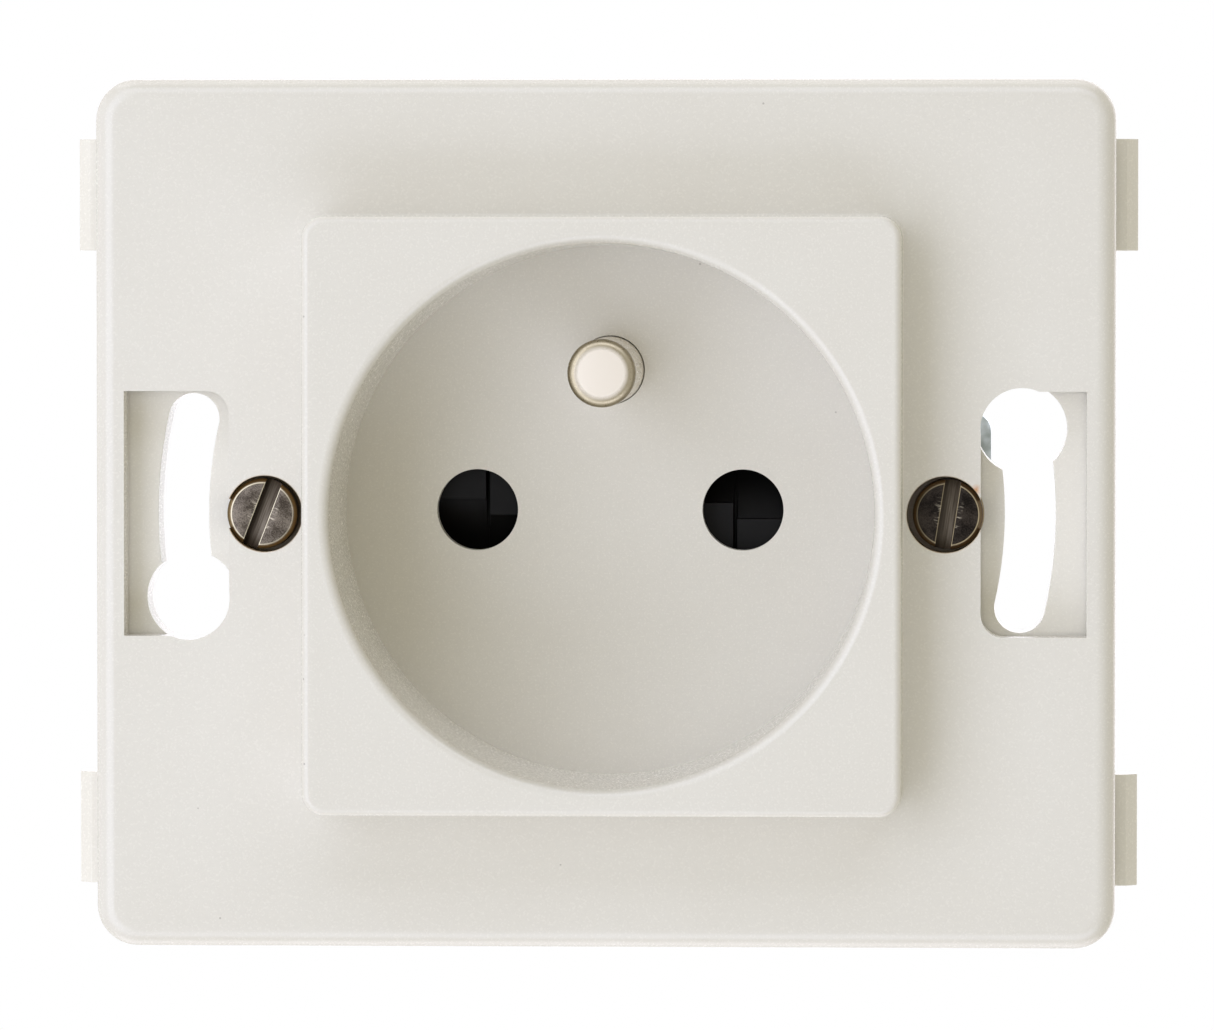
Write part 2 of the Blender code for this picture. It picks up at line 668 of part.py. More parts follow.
def ramp_cutter(side, start, x_span):
    """Wedge that slopes a lobe's front face down towards its leading edge."""
    end = -SHUTTER_R
    top = HOUSING_FRONT + CUT_OVER
    profile = [
        (start, HOUSING_FRONT - RAMP_STEP),
        (start, top),
        (end, top),
        (end, ramp_level(start, end)),
    ]
    points = [(-side * y, z) for y, z in profile]
    return prism_x(points, *sorted((side * x_span[0], side * x_span[1])))


def ramp_level(start, y):
    """Height of a ramp that reaches its thin end at the lobe's edge."""
    edge = -SHUTTER_R * math.sin(math.radians(SHUTTER_HALF_ANGLE))
    slope = (SHUTTER_T - RAMP_STEP - RAMP_END_T) / (start - edge)
    return HOUSING_FRONT - RAMP_STEP - slope * (start - y)


def build_shutter(parent, colour):
    shutter = place(
        "shutter",
        cylinder(SHUTTER_HUB_R, SHUTTER_BACK, HOUSING_FRONT, HOLE_STEPS),
        parent,
        colour,
    )
    split = PIN_X - RAMP_SPLIT
    for side in SIDES:
        angles = lobe_angles(side, 0.0, 0.0)
        lobe = ring_sector(SHUTTER_POST_R * 2, SHUTTER_R, *angles, LOBE_STEPS)
        fuse(shutter, prism(lobe, SHUTTER_BACK, HOUSING_FRONT))
    for side in SIDES:
        cut(shutter, ramp_cutter(side, OUTER_RAMP_START, (split, SHUTTER_R + CUT_OVER)))
        cut(shutter, ramp_cutter(side, INNER_RAMP_START, (SHUTTER_HUB_R + GAP, split)))
        groove = (side * (split - RAMP_GROOVE / 2), side * (split + RAMP_GROOVE / 2))
        depth = (HOUSING_FRONT - RAMP_STEP * 2, HOUSING_FRONT + CUT_OVER)
        cut(shutter, block(groove, (-SHUTTER_R, SHUTTER_R), depth))
    whole = (SHUTTER_BACK - CUT_OVER, HOUSING_FRONT + CUT_OVER)
    room = (SHUTTER_BACK - CUT_OVER, HOUSING_FRONT - SPRING_WEB_T)
    cut(shutter, cylinder(SHUTTER_POST_R + GAP, *whole, SMALL_STEPS))
    cut(shutter, cylinder(SPRING_COIL_R + SPRING_ROOM, *room, HOLE_STEPS))
    leg_hole = (room[1] - CUT_OVER, whole[1])
    cut(shutter, cylinder(SPRING_WIRE_R + GAP, *leg_hole, TINY_STEPS, spring_leg(SPRING_TURNS)))
    return shutter


def spring_leg(turns):
    angle = 2 * math.pi * turns + math.radians(60.0)
    return (SPRING_COIL_R * math.cos(angle), SPRING_COIL_R * math.sin(angle))


def build_shutter_spring(parent, colour):
    """Torsion spring around the post, with one leg in the carrier and one in the shutter."""
    coil_low = SHUTTER_BACK + SPRING_WIRE_R
    start, end = spring_leg(0.0), spring_leg(SPRING_TURNS)
    steps = int(SPRING_TURNS * 20)
    path = [(*start, CARRIER_FRONT - SPRING_LEG)]
    for i in range(steps + 1):
        turns = SPRING_TURNS * i / steps
        path.append((*spring_leg(turns), coil_low + SPRING_PITCH * turns))
    path.append((*end, HOUSING_FRONT - SPRING_WEB_T + SPRING_LEG))
    curve = bpy.data.curves.new("shutter_spring", "CURVE")
    curve.dimensions = "3D"
    curve.bevel_depth = SPRING_WIRE_R * MM
    curve.bevel_resolution = 1
    curve.use_fill_caps = True
    line = curve.splines.new("POLY")
    line.points.add(len(path) - 1)
    for point, place_mm in zip(line.points, path):
        point.co = (*(Vector(place_mm) * MM), 1.0)
    curve.materials.append(colour)
    spring = bpy.data.objects.new("shutter_spring", curve)
    bpy.context.scene.collection.objects.link(spring)
    spring.parent = parent
    return spring


# Earth pin and strap

def build_earth_pin(parent, colour):
    tip = FLOOR_FRONT + EARTH_PIN_LENGTH
    chamfer = EARTH_PIN_R - EARTH_TIP_R
    flange_back = HOUSING_FRONT - EARTH_FLANGE_T
    rivet_seat = STRAP_FRONT + GAP
    rivet_back = STRAP_BACK - GAP
    profile = [
        (EARTH_RIVET_HEAD_R - OVERLAP, rivet_back - EARTH_RIVET_HEAD_T),
        (EARTH_RIVET_HEAD_R, rivet_back - EARTH_RIVET_HEAD_T + OVERLAP),
        (EARTH_RIVET_HEAD_R, rivet_back),
        (EARTH_RIVET_R, rivet_back),
        (EARTH_RIVET_R, rivet_seat),
        (EARTH_PIN_R, rivet_seat),
        (EARTH_PIN_R, flange_back),
        (EARTH_FLANGE_R, flange_back),
        (EARTH_FLANGE_R, HOUSING_FRONT),
        (EARTH_PIN_R, HOUSING_FRONT),
        (EARTH_PIN_R, tip - chamfer),
        (EARTH_PIN_R - chamfer * 0.4, tip - chamfer * 0.3),
        (EARTH_TIP_R, tip),
    ]
    place("earth_pin", turned(profile, HOLE_STEPS, (0.0, EARTH_OFFSET)), parent, colour)


def build_earth_strap(parent, colour):
    """Strip from the pin's riveted end to the earth terminal, stepped back into the cage."""
    eye_z = STRAP_FRONT - SHEET_T / 2
    tail_z = TAIL_FRONT - SHEET_T / 2
    bend_y = CAGE_Y - CAGE_L / 2 - GAP - SHEET_T / 2
    path = [(EARTH_OFFSET, eye_z), (bend_y, eye_z), (bend_y, tail_z), (CAGE_Y + CAGE_L / 2, tail_z)]
    half = EARTH_STRAP_W / 2
    strap = place("earth_strap", prism_x(ribbon(path, SHEET_T), -half, half), parent, colour)
    centre = (0.0, EARTH_OFFSET)
    fuse(strap, cylinder(EARTH_EYE_R, STRAP_BACK, STRAP_FRONT, HOLE_STEPS, centre))
    hole = (STRAP_BACK - CUT_OVER, STRAP_FRONT + CUT_OVER)
    cut(strap, cylinder(EARTH_RIVET_R + GAP, *hole, SMALL_STEPS, centre))
    return strap


# Live and neutral contacts

def contact_path():
    """Centre line of the folded strip: tail, lower leaf, closed end and upper leaf."""
    half = SHEET_T / 2
    grip = CONTACT_GRIP / 2 + half
    base = CONTACT_BASE_GAP / 2 + half
    mouth = CONTACT_MOUTH / 2
    throat = grip + CONTACT_FLARE
    tail_z = TAIL_FRONT - half
    waist_z = FLOOR_FRONT - PLUG_PIN_LENGTH * CONTACT_WAIST
    back_z = CONTACT_BACK + half
    leaf = [
        (throat, tail_z - CONTACT_LEAD),
        (grip, waist_z),
        (base, back_z + CONTACT_BASE_RISE),
        (base, back_z + CONTACT_BEND),
        (base - CONTACT_BEND, back_z),
    ]
    lower = [(-mouth - TAIL_LEAD, tail_z), (-mouth, tail_z)] + [(-y, z) for y, z in leaf]
    upper = leaf[::-1] + [(mouth, tail_z + CONTACT_LEAD)]
    return lower + upper


def contact_tail():
    """Flat tail that steps sideways from the contact to its terminal."""
    inner, outer = PIN_X - CONTACT_W / 2, PIN_X + CONTACT_W / 2
    tail_in, tail_out = CAGE_X - CONTACT_TAIL_W / 2, CAGE_X + CONTACT_TAIL_W / 2
    top = TAIL_LEAD / 2 - CONTACT_MOUTH / 2 - TAIL_LEAD
    step = top - CONTACT_TAIL_W / 2
    end = -CAGE_Y - CAGE_L / 2
    return [
        (outer, top),
        (outer, step),
        (tail_out, step - TAIL_STEP),
        (tail_out, end),
        (tail_in, end),
        (tail_in, step),
        (inner, step + TAIL_STEP / 2),
        (inner, top),
    ]


def build_contact(name, side, parent, colour):
    inner, outer = PIN_X - CONTACT_W / 2, PIN_X + CONTACT_W / 2
    folded = mirrored(prism_x(ribbon(contact_path(), SHEET_T), inner, outer), side)
    contact = place(name, folded, parent, colour, (side * PIN_X, 0.0, CONTACT_BACK))
    fuse(contact, mirrored(prism(contact_tail(), TAIL_BACK, TAIL_FRONT), side))
    return contact


# Terminals

def build_terminal_cage(name, x, y_side, parent, colour):
    half = CAGE_W / 2
    y_span = (y_side * (CAGE_Y - CAGE_L / 2), y_side * (CAGE_Y + CAGE_L / 2))
    body = block((x - half, x + half), y_span, (CAGE_BACK, CAGE_FRONT))
    cage = place(name, body, parent, colour, (x, y_side * CAGE_Y, CAGE_BACK))
    passage = half - CAGE_WALL - OVERLAP
    room = (CAGE_BACK + CAGE_THREAD_WALL, CAGE_FRONT - CAGE_WALL)
    cut(cage, block((x - passage, x + passage), (y_span[0] * 0.5, y_span[1] * 1.5), room))
    hole = (CAGE_BACK - CUT_OVER, room[0] + CUT_OVER)
    cut(cage, cylinder(TERMINAL_SCREW_R + GAP, *hole, SMALL_STEPS, (x, y_side * CAGE_Y)))
    return cage


def screw_shape(radius, length, head_r, head_t, chamfer, steps):
    """Slotted cheese-head screw along z, with its head's underside at z = 0."""
    profile = [
        (radius - chamfer, -length),
        (radius, chamfer - length),
        (radius, 0.0),
        (head_r, 0.0),
        (head_r, head_t - chamfer),
        (head_r - chamfer, head_t),
    ]
    return turned(profile, steps)


def build_screw(name, sizes, location, turn, parent, colour, steps=SMALL_STEPS):
    """Places a screw; turn is (about y, about its own axis), so that it can face the back."""
    radius, length, head_r, head_t = sizes
    screw = place(name, screw_shape(radius, length, head_r, head_t, SCREW_CHAMFER, steps), parent, colour)
    half = SCREW_SLOT_W / 2
    slot = block((-half, half), (-head_r * 2, head_r * 2), (head_t - SCREW_SLOT_DEPTH, head_t + CUT_OVER))
    cut(screw, slot)
    slot_tool = screw.modifiers[-1].object
    slot_tool.parent = screw
    screw.location = Vector(location) * MM
    screw.rotation_euler = (0.0, math.radians(turn[0]), math.radians(turn[1]))
    return screw


# Claws

def claw_section():
    """Channel of the claw as seen along z, open towards the housing."""
    outer, inner = CLAW_OUT, CLAW_PIVOT_X - CLAW_EYE_R
    bend, flange = CLAW_BEND_R, CLAW_FLANGE_OUT
    inside = bend - CLAW_SHEET
    steps = CORNER_STEPS
    points = [(inner, -flange)]
    points += arc((outer - bend, bend - flange), bend, -90.0, 0.0, steps)
    points += arc((outer - bend, flange - bend), bend, 0.0, 90.0, steps)
    points += [(inner, flange), (inner, CLAW_FLANGE_IN)]
    points += arc((outer - bend, flange - bend), inside, 90.0, 0.0, steps)
    points += arc((outer - bend, bend - flange), inside, 0.0, -90.0, steps)
    points += [(inner, -CLAW_FLANGE_IN)]
    return points


def claw_side():
    """Side view of the claw: the pivot's eye, the arm and the teeth at its rear."""
    eye = (CLAW_PIVOT_X, CLAW_PIVOT_Z)
    arm_in = SCREW_X - CLAW_SCREW_R
    front = CLAW_TAB_Z + CLAW_SHEET / 2
    rear = CLAW_TAB_Z - CLAW_LENGTH
    pitch = (CLAW_OUT - arm_in) / TOOTH_COUNT
    points = arc(eye, CLAW_EYE_R, 60.0, 280.0, 10)
    points.append((arm_in, CLAW_TAB_Z - CLAW_EYE_R))
    points.append((arm_in, rear))
    for i in range(TOOTH_COUNT):
        points.append((arm_in + pitch * (i + 0.6), rear - CLAW_TOOTH))
        points.append((arm_in + pitch * (i + 1), rear))
    points.append((CLAW_OUT, front))
    points.append((eye[0] + CLAW_EYE_R, front))
    return points


def build_claw(name, side, parent, colour):
    pivot = (side * CLAW_PIVOT_X, 0.0, CLAW_PIVOT_Z)
    top = CLAW_TAB_Z + CLAW_SHEET / 2
    reach = CLAW_PIVOT_Z + CLAW_EYE_R + CUT_OVER
    bottom = CLAW_TAB_Z - CLAW_LENGTH - CLAW_TOOTH - CUT_OVER
    claw = place(name, mirrored(prism(claw_section(), bottom, reach), side), parent, colour, pivot)
    wide = CLAW_FLANGE_OUT + CUT_OVER
    keep_common(claw, mirrored(prism_y(claw_side(), -wide, wide), side))
    tab_in = CLAW_PIVOT_X + EAR_OUT + GAP * 2
    tab = block((tab_in, CLAW_WEB_IN + OVERLAP), (-CLAW_FLANGE_IN - OVERLAP, CLAW_FLANGE_IN + OVERLAP),
                (CLAW_TAB_Z - CLAW_SHEET / 2, top))
    fuse(claw, mirrored(tab, side))
    eye = (side * CLAW_PIVOT_X, CLAW_PIVOT_Z)
    cut(claw, cylinder_y(CLAW_PIVOT_R + GAP, -wide, wide, SMALL_STEPS, eye))
    play = CLAW_SCREW_R + GAP * 2
    hole = (CLAW_TAB_Z - CLAW_SHEET, top + CUT_OVER)
    cut(claw, cylinder(play, *hole, SMALL_STEPS, (side * SCREW_X, 0.0)))
    return claw


def build_shutter_group(wall, colours):
    build_shutter_carrier(wall, colours["black"])
    build_shutter(wall, colours["shutter"])
    build_shutter_spring(wall, colours["steel"])


def build_earth_group(wall, colours):
    build_earth_pin(wall, colours["nickel"])
    build_earth_strap(wall, colours["brass"])


def build_terminal_group(wall, colours):
    build_contact("live_contact", 1, wall, colours["brass"])
    build_contact("neutral_contact", -1, wall, colours["brass"])
    sizes = (TERMINAL_SCREW_R, CAGE_THREAD_WALL + GAP * 2, TERMINAL_HEAD_R, TERMINAL_HEAD_T)
    for name, x, y_side in (("live", CAGE_X, -1), ("neutral", -CAGE_X, -1), ("earth", 0.0, 1)):
        build_terminal_cage(f"{name}_terminal_cage", x, y_side, wall, colours["zinc"])
        seat = (x, y_side * CAGE_Y, CAGE_BACK - GAP)
        build_screw(f"{name}_terminal_screw", sizes, seat, (180.0, 25.0), wall, colours["zinc"])


def build_fastener_group(wall, colours):
    shank = HOUSING_SCREW_SHANK + GAP + HOUSING_SCREW_BITE
    sizes = (HOUSING_SCREW_R, shank, HOUSING_HEAD_R, HOUSING_HEAD_T)
    for name, (x, y) in zip(("upper", "lower"), SCREW_PLACES):
        seat = (x, y, HOUSING_FRONT - HOUSING_SCREW_SHANK - GAP)
        build_screw(f"{name}_housing_screw", sizes, seat, (180.0, 40.0), wall, colours["zinc"])


def build_claw_group(wall, colours):
    sizes = (CLAW_SCREW_R, CLAW_SCREW_LENGTH, CLAW_HEAD_R, CLAW_HEAD_T)
    for name, side in (("right", 1), ("left", -1)):
        build_claw(f"{name}_claw", side, wall, colours["zinc"])
        seat = (side * SCREW_X, 0.0, FRAME_T + GAP)
        turn = (0.0, CLAW_SCREW_TURN[side])
        build_screw(f"{name}_claw_screw", sizes, seat, turn, wall, colours["dark_zinc"], HOLE_STEPS)


def main():
    clear_scene()
    colours = {
        "ivory": material("ivory_plastic", (0.76, 0.73, 0.67), 0.45),
        "black": material("black_thermoset", (0.02, 0.02, 0.022), 0.5),
        "shutter": material("shutter_black", (0.012, 0.012, 0.014), 0.35),
        "nickel": material("nickel_plated_brass", (0.72, 0.69, 0.62), 0.28, 1.0),
        "brass": material("tinned_brass", (0.70, 0.55, 0.28), 0.35, 1.0),
        "zinc": material("zinc_plated_steel", (0.62, 0.66, 0.70), 0.35, 1.0),
        "dark_zinc": material("aged_zinc_steel", (0.30, 0.27, 0.23), 0.42, 1.0),
        "steel": material("spring_steel", (0.50, 0.50, 0.50), 0.3, 1.0),
    }
    wall = bpy.data.objects.new("wall_frame", None)
    bpy.context.scene.collection.objects.link(wall)
    wall.rotation_euler = (math.radians(90.0), 0.0, 0.0)
    build_front_cover(wall, colours["ivory"])
    build_support_frame(wall, colours["ivory"])
    build_rear_housing(wall, colours["black"])
    build_shutter_group(wall, colours)
    build_earth_group(wall, colours)
    build_terminal_group(wall, colours)
    build_fastener_group(wall, colours)
    build_claw_group(wall, colours)


main()
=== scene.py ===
"""Looks of the modular socket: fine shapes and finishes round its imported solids.

Shapes are worked out in millimetres in the wall's own frame, with x to the right, y up the
wall and z out into the room, and z = 0 at the wall's surface. to_room() stands them upright,
so that the front faces -Y and the top faces +Z. Angles are in degrees.
"""

import math

import bmesh
import bpy
from mathutils import Matrix, Vector


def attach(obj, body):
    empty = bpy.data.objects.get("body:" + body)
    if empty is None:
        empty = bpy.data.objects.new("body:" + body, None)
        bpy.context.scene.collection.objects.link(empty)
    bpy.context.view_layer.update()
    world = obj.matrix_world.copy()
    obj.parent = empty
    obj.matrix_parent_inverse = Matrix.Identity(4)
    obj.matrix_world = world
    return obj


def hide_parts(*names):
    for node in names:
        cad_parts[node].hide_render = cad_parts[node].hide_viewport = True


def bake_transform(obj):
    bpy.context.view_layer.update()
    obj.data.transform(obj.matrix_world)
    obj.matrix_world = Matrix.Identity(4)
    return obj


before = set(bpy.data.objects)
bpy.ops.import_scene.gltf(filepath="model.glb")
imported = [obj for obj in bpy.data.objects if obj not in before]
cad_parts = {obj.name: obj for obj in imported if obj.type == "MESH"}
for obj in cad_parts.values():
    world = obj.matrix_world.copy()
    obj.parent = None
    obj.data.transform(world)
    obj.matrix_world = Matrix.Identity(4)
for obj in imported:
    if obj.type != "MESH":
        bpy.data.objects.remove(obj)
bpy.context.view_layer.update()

MM = 0.001
SIDES = (-1, 1)
BODY = "socket_body"

# Camera, matched to the photograph's holes, boss and plate edges
CAMERA_AZIMUTH = 2.61        # to the right of straight ahead
CAMERA_ELEVATION = 1.92      # above the horizon
CAMERA_DISTANCE = 616.0
CAMERA_TARGET = (0.18, -6.6, -0.07)
CAMERA_LENS = 259.1
SENSOR_WIDTH = 36.0
CLIP_START = 0.01            # metres
CLIP_END = 60.0              # metres

# Light: each lamp's colour, azimuth and elevation, its size in metres and its power in watts
AMBIENT_COLOUR = "FFF1A2"
AMBIENT_STRENGTH = 0.29
LAMP_COLOUR = "E1E7FF"
GLOW_COLOUR = "F0EDFB"
FLOOR_LIFT = 0.91              # what the soft light alone leaves short of white on the floor
FLOOR_LIFT_COLOUR = "E8EDFF"
LAMP_DISTANCE = 0.75           # metres
FLOOR_HALF = 12.0              # metres
FLOOR_DROP = 1.2               # metres below the socket's middle
LAMPS = (
    ("window_light", LAMP_COLOUR, -38.0, 0.0, (0.6, 0.98), 4.08),
    ("upper_strip", LAMP_COLOUR, 0.0, 55.0, (1.18, 0.39), 2.95),
    ("lower_strip", LAMP_COLOUR, 0.0, -50.0, (1.18, 0.39), 2.85),
    ("left_glow", GLOW_COLOUR, -105.0, 5.0, (0.8, 0.8), 1.1),
    ("right_glow", GLOW_COLOUR, 108.0, 5.0, (0.8, 0.8), 1.0),
    ("upper_glow", GLOW_COLOUR, 180.0, 72.0, (1.0, 0.5), 2.0),
    ("lower_glow", GLOW_COLOUR, 180.0, -72.0, (1.0, 0.5), 2.0),
    ("rear_light", GLOW_COLOUR, 160.0, 10.0, (0.9, 0.9), 2.5),
)

# Levels along z, as in the solids
PLATE_BACK = 4.3
PLATE_FRONT = 7.1
BOSS_FRONT = 12.6
FLOOR_FRONT = -2.4
FLOOR_BACK = -4.2
HOUSING_FRONT = -4.5
SKIRT_END = 2.8
FRAME_FRONT = 4.0

# Cover plate and boss
COVER_W = 72.0
COVER_H = 61.3
COVER_CORNER_R = 2.9
EDGE_ROLL = 1.4
SKIRT_T = 1.4
BOSS_HALF = 21.0
BOSS_WALL = 1.4
BOSS_CORNER_R = 1.6
BOSS_FILLET = 0.55
BOSS_FOOT = 0.18             # small fillet where the boss meets the plate
BOSS_SINK = 0.1              # how far that fillet starts under the plate's front

# Plug recess
RIM_R = 19.1
FLOOR_R = 18.9
RIM_FILLET = 0.75
CUP_R = 20.5
PIN_X = 9.5
PIN_HOLE_R = 2.9
EARTH_Y = 10.0
EARTH_HOLE_R = 2.47

# Windows, screw holes and keyholes
SCREW_X = 24.2
COUNTERBORE_X = 24.0
COUNTERBORE_R = 2.7
WINDOW_INNER_X = 26.5
WINDOW_OUTER_X = 33.95
WINDOW_HALF_H = 8.65
WINDOW_CORNER_R = 1.6
WINDOW_ROUND_R = 2.93
FIXING_R = 30.0
KEYHOLE_SLOT_W = 3.6
KEYHOLE_BULB_R = 3.2
KEYHOLE_BULB_ANGLE = 11.5
KEYHOLE_END_ANGLE = 12.8

# Pillars and pegs behind the cover
PILLAR_X = 13.6
PILLAR_Y = 17.55
PILLAR_R = 2.1
PEG_R = 1.1
PEG_L = 2.5
SCREW_BORE_R = 1.5
SCREW_BORE_DEPTH = 6.5

# Support frame
FRAME_W = 68.6
FRAME_H = 57.9
FRAME_CORNER_R = 1.2
OPENING_HALF = 20.8
SCREW_CLEAR_R = 1.8
TAB_REACH_X = 37.6
TAB_H = 7.9
TAB_Y = 22.5
TAB_T = 2.5
TAB_CHAMFER = 0.8
POCKET_IN_X = 22.4
POCKET_OUT_X = 32.7
POCKET_LOW_Y = 11.85
POCKET_HIGH_Y = 27.35
POCKET_DEPTH = 2.2

# Earth pin
EARTH_PIN_R = 2.4
EARTH_TIP_Z = 11.6
EARTH_TIP_R = 1.8
EARTH_WORN_Z = 0.75            # how far down from its end plugs have rubbed the pin
FLANGE_R = 3.5
FLANGE_BACK = -5.7
RIVET_R = 1.2
RIVET_SEAT = -10.3
RIVET_BACK = -11.7
RIVET_HEAD_R = 1.9
RIVET_HEAD_T = 0.7
RIVET_ROLL = 0.4
AXIS_R = 0.02                  # where a turned profile ends, a hair off its axis

# Terminals, housing screws and the shutter's spring
CAGE_X = 4.9
CAGE_Y = 16.25
CAGE_BACK = -19.5
HOUSING_HEAD_SEAT = -14.3
SPRING_COIL_R = 3.2
SPRING_WIRE_R = 0.22
SPRING_TURNS = 2.5
SPRING_RISE = 1.375
SPRING_LOW = -7.68
SPRING_LOWER_LEG = 1.32
SPRING_UPPER_LEG = 1.305
SPRING_START = 60.0

# Screws, each with its head above its seat and its shank below
CLAW_SCREW = {
    "head": {"Radius": 2.48, "Height": 2.4, "Edge": 0.23, "Slot width": 1.1, "Slot depth": 1.0},
    "shank": {"Radius": 1.5, "Length": 22.0, "Neck": 3.2, "Pitch": 0.5, "Depth": 0.27, "Tip": 0.3},
}
TERMINAL_SCREW = {
    "head": {"Radius": 2.6, "Height": 2.0, "Edge": 0.25, "Slot width": 1.0, "Slot depth": 1.0},
    "shank": {"Radius": 1.6, "Length": 2.6, "Neck": 0.3, "Pitch": 0.6, "Depth": 0.3, "Tip": 0.25},
}
HOUSING_SCREW = {
    "head": {"Radius": 2.2, "Height": 1.6, "Edge": 0.25, "Slot width": 1.0, "Slot depth": 1.0},
    "shank": {"Radius": 1.2, "Length": 16.0, "Neck": 4.0, "Pitch": 1.0, "Depth": 0.32, "Tip": 0.6},
}

# Colours of the claw screws, which are dulled, and of those behind, which look new, each with a painted
# shadow for the slot and a painted highlight for the head's edges
LEFT_TONES = {
    "face": ("433C35", "7C7368"), "groove": ("463E36", "6A6257"), "slot_shadow": "2A241D",
    "scuff": "B7AD9B", "edge_glint": "CFC6AC", "rim": "8A7859",
}
RIGHT_TONES = {
    "face": ("1A1715", "3A342E"), "groove": ("3D362D", "5F574C"), "slot_shadow": "38322A",
    "scuff": "8F8778", "edge_glint": "9F9173", "rim": "6A5A44",
}
NEW_TONES = {
    "face": ("AAB1B8", "C6CCD2"), "groove": ("8B9198", "A9AFB5"), "slot_shadow": "747A81",
    "scuff": "D3D8DC", "edge_glint": "DFE3E6", "rim": "9CA3AA",
}

# Brown stain beside the right claw screw: centre, radius, colour and strength
STAIN = ((26.2, 1.75, PLATE_FRONT - 0.05), 0.38, "CC8A42", 0.85)

GAP = 0.3
CUT_OVER = 1.0
OVERLAP = 0.4

# Kinds of node used most
MATH = "ShaderNodeMath"
VECTOR_MATH = "ShaderNodeVectorMath"
MAP_RANGE = "ShaderNodeMapRange"
NOISE = "ShaderNodeTexNoise"
MIX = "ShaderNodeMix"
BUMP = "ShaderNodeBump"

# Length after which a wave texture of scale 1 repeats
WAVE_PERIOD = 0.314

# Bounds for masks that have no end on one side, and the side of a head towards which its painted highlight is
# strongest
BELOW_ALL = -1.0
BEYOND = 1.0
NORTH = (0.0, 1.0, 0.0)

# Steps round a whole circle
WIDE_STEPS = 192
PIN_STEPS = 128
HOLE_STEPS = 96
CLEARANCE_STEPS = 64
PILLAR_STEPS = 48
BORE_STEPS = 32
THREAD_RINGS = 8.0             # rings of points to each turn of a thread

# Steps along part of a circle
KEYHOLE_STEPS = 24
WINDOW_STEPS = 12
CORNER_STEPS = 10
ROLL_STEPS = 8
EDGE_STEPS = 6
FOOT_STEPS = 4

# Widths of the rounding of hard edges
COVER_EDGE = 0.11
FRAME_EDGE = 0.1
CLAW_EDGE = 0.1
BLOCK_EDGE = 0.2
CAGE_EDGE = 0.15
STRIP_EDGE = 0.08
PIN_EDGE = 0.04
HEAD_EDGE = 0.05

# Solids whose rounded edges leave slivers
SLIVERED = ("earth_strap", "left_claw", "right_claw")

# Stands a shape of the wall's frame up in the room
UPRIGHT = Matrix.Rotation(math.radians(90.0), 4, "X")


# Placing things

def to_room(point):
    """From millimetres in the wall's frame to metres in the room."""
    x, y, z = point
    return Vector((x, -z, y)) * MM


def in_metres(lengths):
    return {key: value * MM for key, value in lengths.items()}


def add_object(name, data):
    obj = bpy.data.objects.new(name, data)
    bpy.context.scene.collection.objects.link(obj)
    return obj


def baked(obj):
    """Plain mesh of an object as its modifiers leave it; the first object goes."""
    name = obj.name
    depsgraph = bpy.context.evaluated_depsgraph_get()
    mesh = bpy.data.meshes.new_from_object(
        obj.evaluated_get(depsgraph), preserve_all_data_layers=True, depsgraph=depsgraph
    )
    bpy.data.objects.remove(obj, do_unlink=True)
    return add_object(name, mesh)


def finish_piece(obj, material, node, body=BODY):
    """Gives a piece its material, hides the solid it stands for, and hangs it on the body it rides on, if
    any.
    """
    obj.data.materials.clear()
    obj.data.materials.append(material)
    for polygon in obj.data.polygons:
        polygon.material_index = 0
    if body:
        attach(obj, body)
    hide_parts(node)


# Outlines in the plane of the wall

def arc(centre, radius, start, end, steps):
    points = []
    for i in range(steps + 1):
        angle = math.radians(start + (end - start) * i / steps)
        points.append((centre[0] + radius * math.cos(angle), centre[1] + radius * math.sin(angle)))
    return points


def circle(radius, steps, centre=(0.0, 0.0)):
    return arc(centre, radius, 0.0, 360.0 * (steps - 1) / steps, steps - 1)


def rounded_rectangle(half_w, half_h, radius):
    points = []
    for quarter, (sx, sy) in enumerate(((1, 1), (-1, 1), (-1, -1), (1, -1))):
        centre = (sx * (half_w - radius), sy * (half_h - radius))
        points += arc(centre, radius, 90.0 * quarter, 90.0 * (quarter + 1), CORNER_STEPS)
    return points


def turned_about(side, outline):
    """The right-hand outline, or the same turned half a turn for the left-hand side."""
    return [(side * x, side * y) for x, y in outline]


# Closed shapes

def stack(loops):
    """Skin through equal loops of points, closed by a face at each end."""
    shape = bmesh.new()
    rings = [[shape.verts.new(to_room(point)) for point in loop] for loop in loops]
    count = len(rings[0])
    for lower, upper in zip(rings, rings[1:]):
        for i in range(count):
            j = (i + 1) % count
            shape.faces.new((lower[i], lower[j], upper[j], upper[i]))
    shape.faces.new(rings[0])
    shape.faces.new(rings[-1])
    bmesh.ops.recalc_face_normals(shape, faces=shape.faces)
    return shape


def prism(outline, low, high):
    return stack([[(x, y, z) for x, y in outline] for z in (low, high)])


def prism_y(outline, low, high):
    """Outline of (x, z) points, drawn out along y."""
    return stack([[(x, y, z) for x, z in outline] for y in (low, high)])


def block(x_span, y_span, z_span):
    left, right = sorted(x_span)
    bottom, top = sorted(y_span)
    corners = [(left, bottom), (right, bottom), (right, top), (left, top)]
    return prism(corners, *sorted(z_span))


def turned(profile, steps, centre=(0.0, 0.0)):
    """Solid of revolution about z, through (radius, z) points."""
    return stack([[(x, y, z) for x, y in circle(radius, steps, centre)] for radius, z in profile])


def cylinder(radius, low, high, steps, centre=(0.0, 0.0)):
    return turned(((radius, low), (radius, high)), steps, centre)


def stepped(half_w, half_h, corner, levels):
    """Rounded block whose outline lies further in or out at each (inset, z) level."""
    loops = []
    for inset, z in levels:
        outline = rounded_rectangle(half_w - inset, half_h - inset, corner - inset)
        loops.append([(x, y, z) for x, y in outline])
    return stack(loops)


def shape_object(name, shape):
    mesh = bpy.data.meshes.new(name)
    shape.to_mesh(mesh)
    shape.free()
    return add_object(name, mesh)


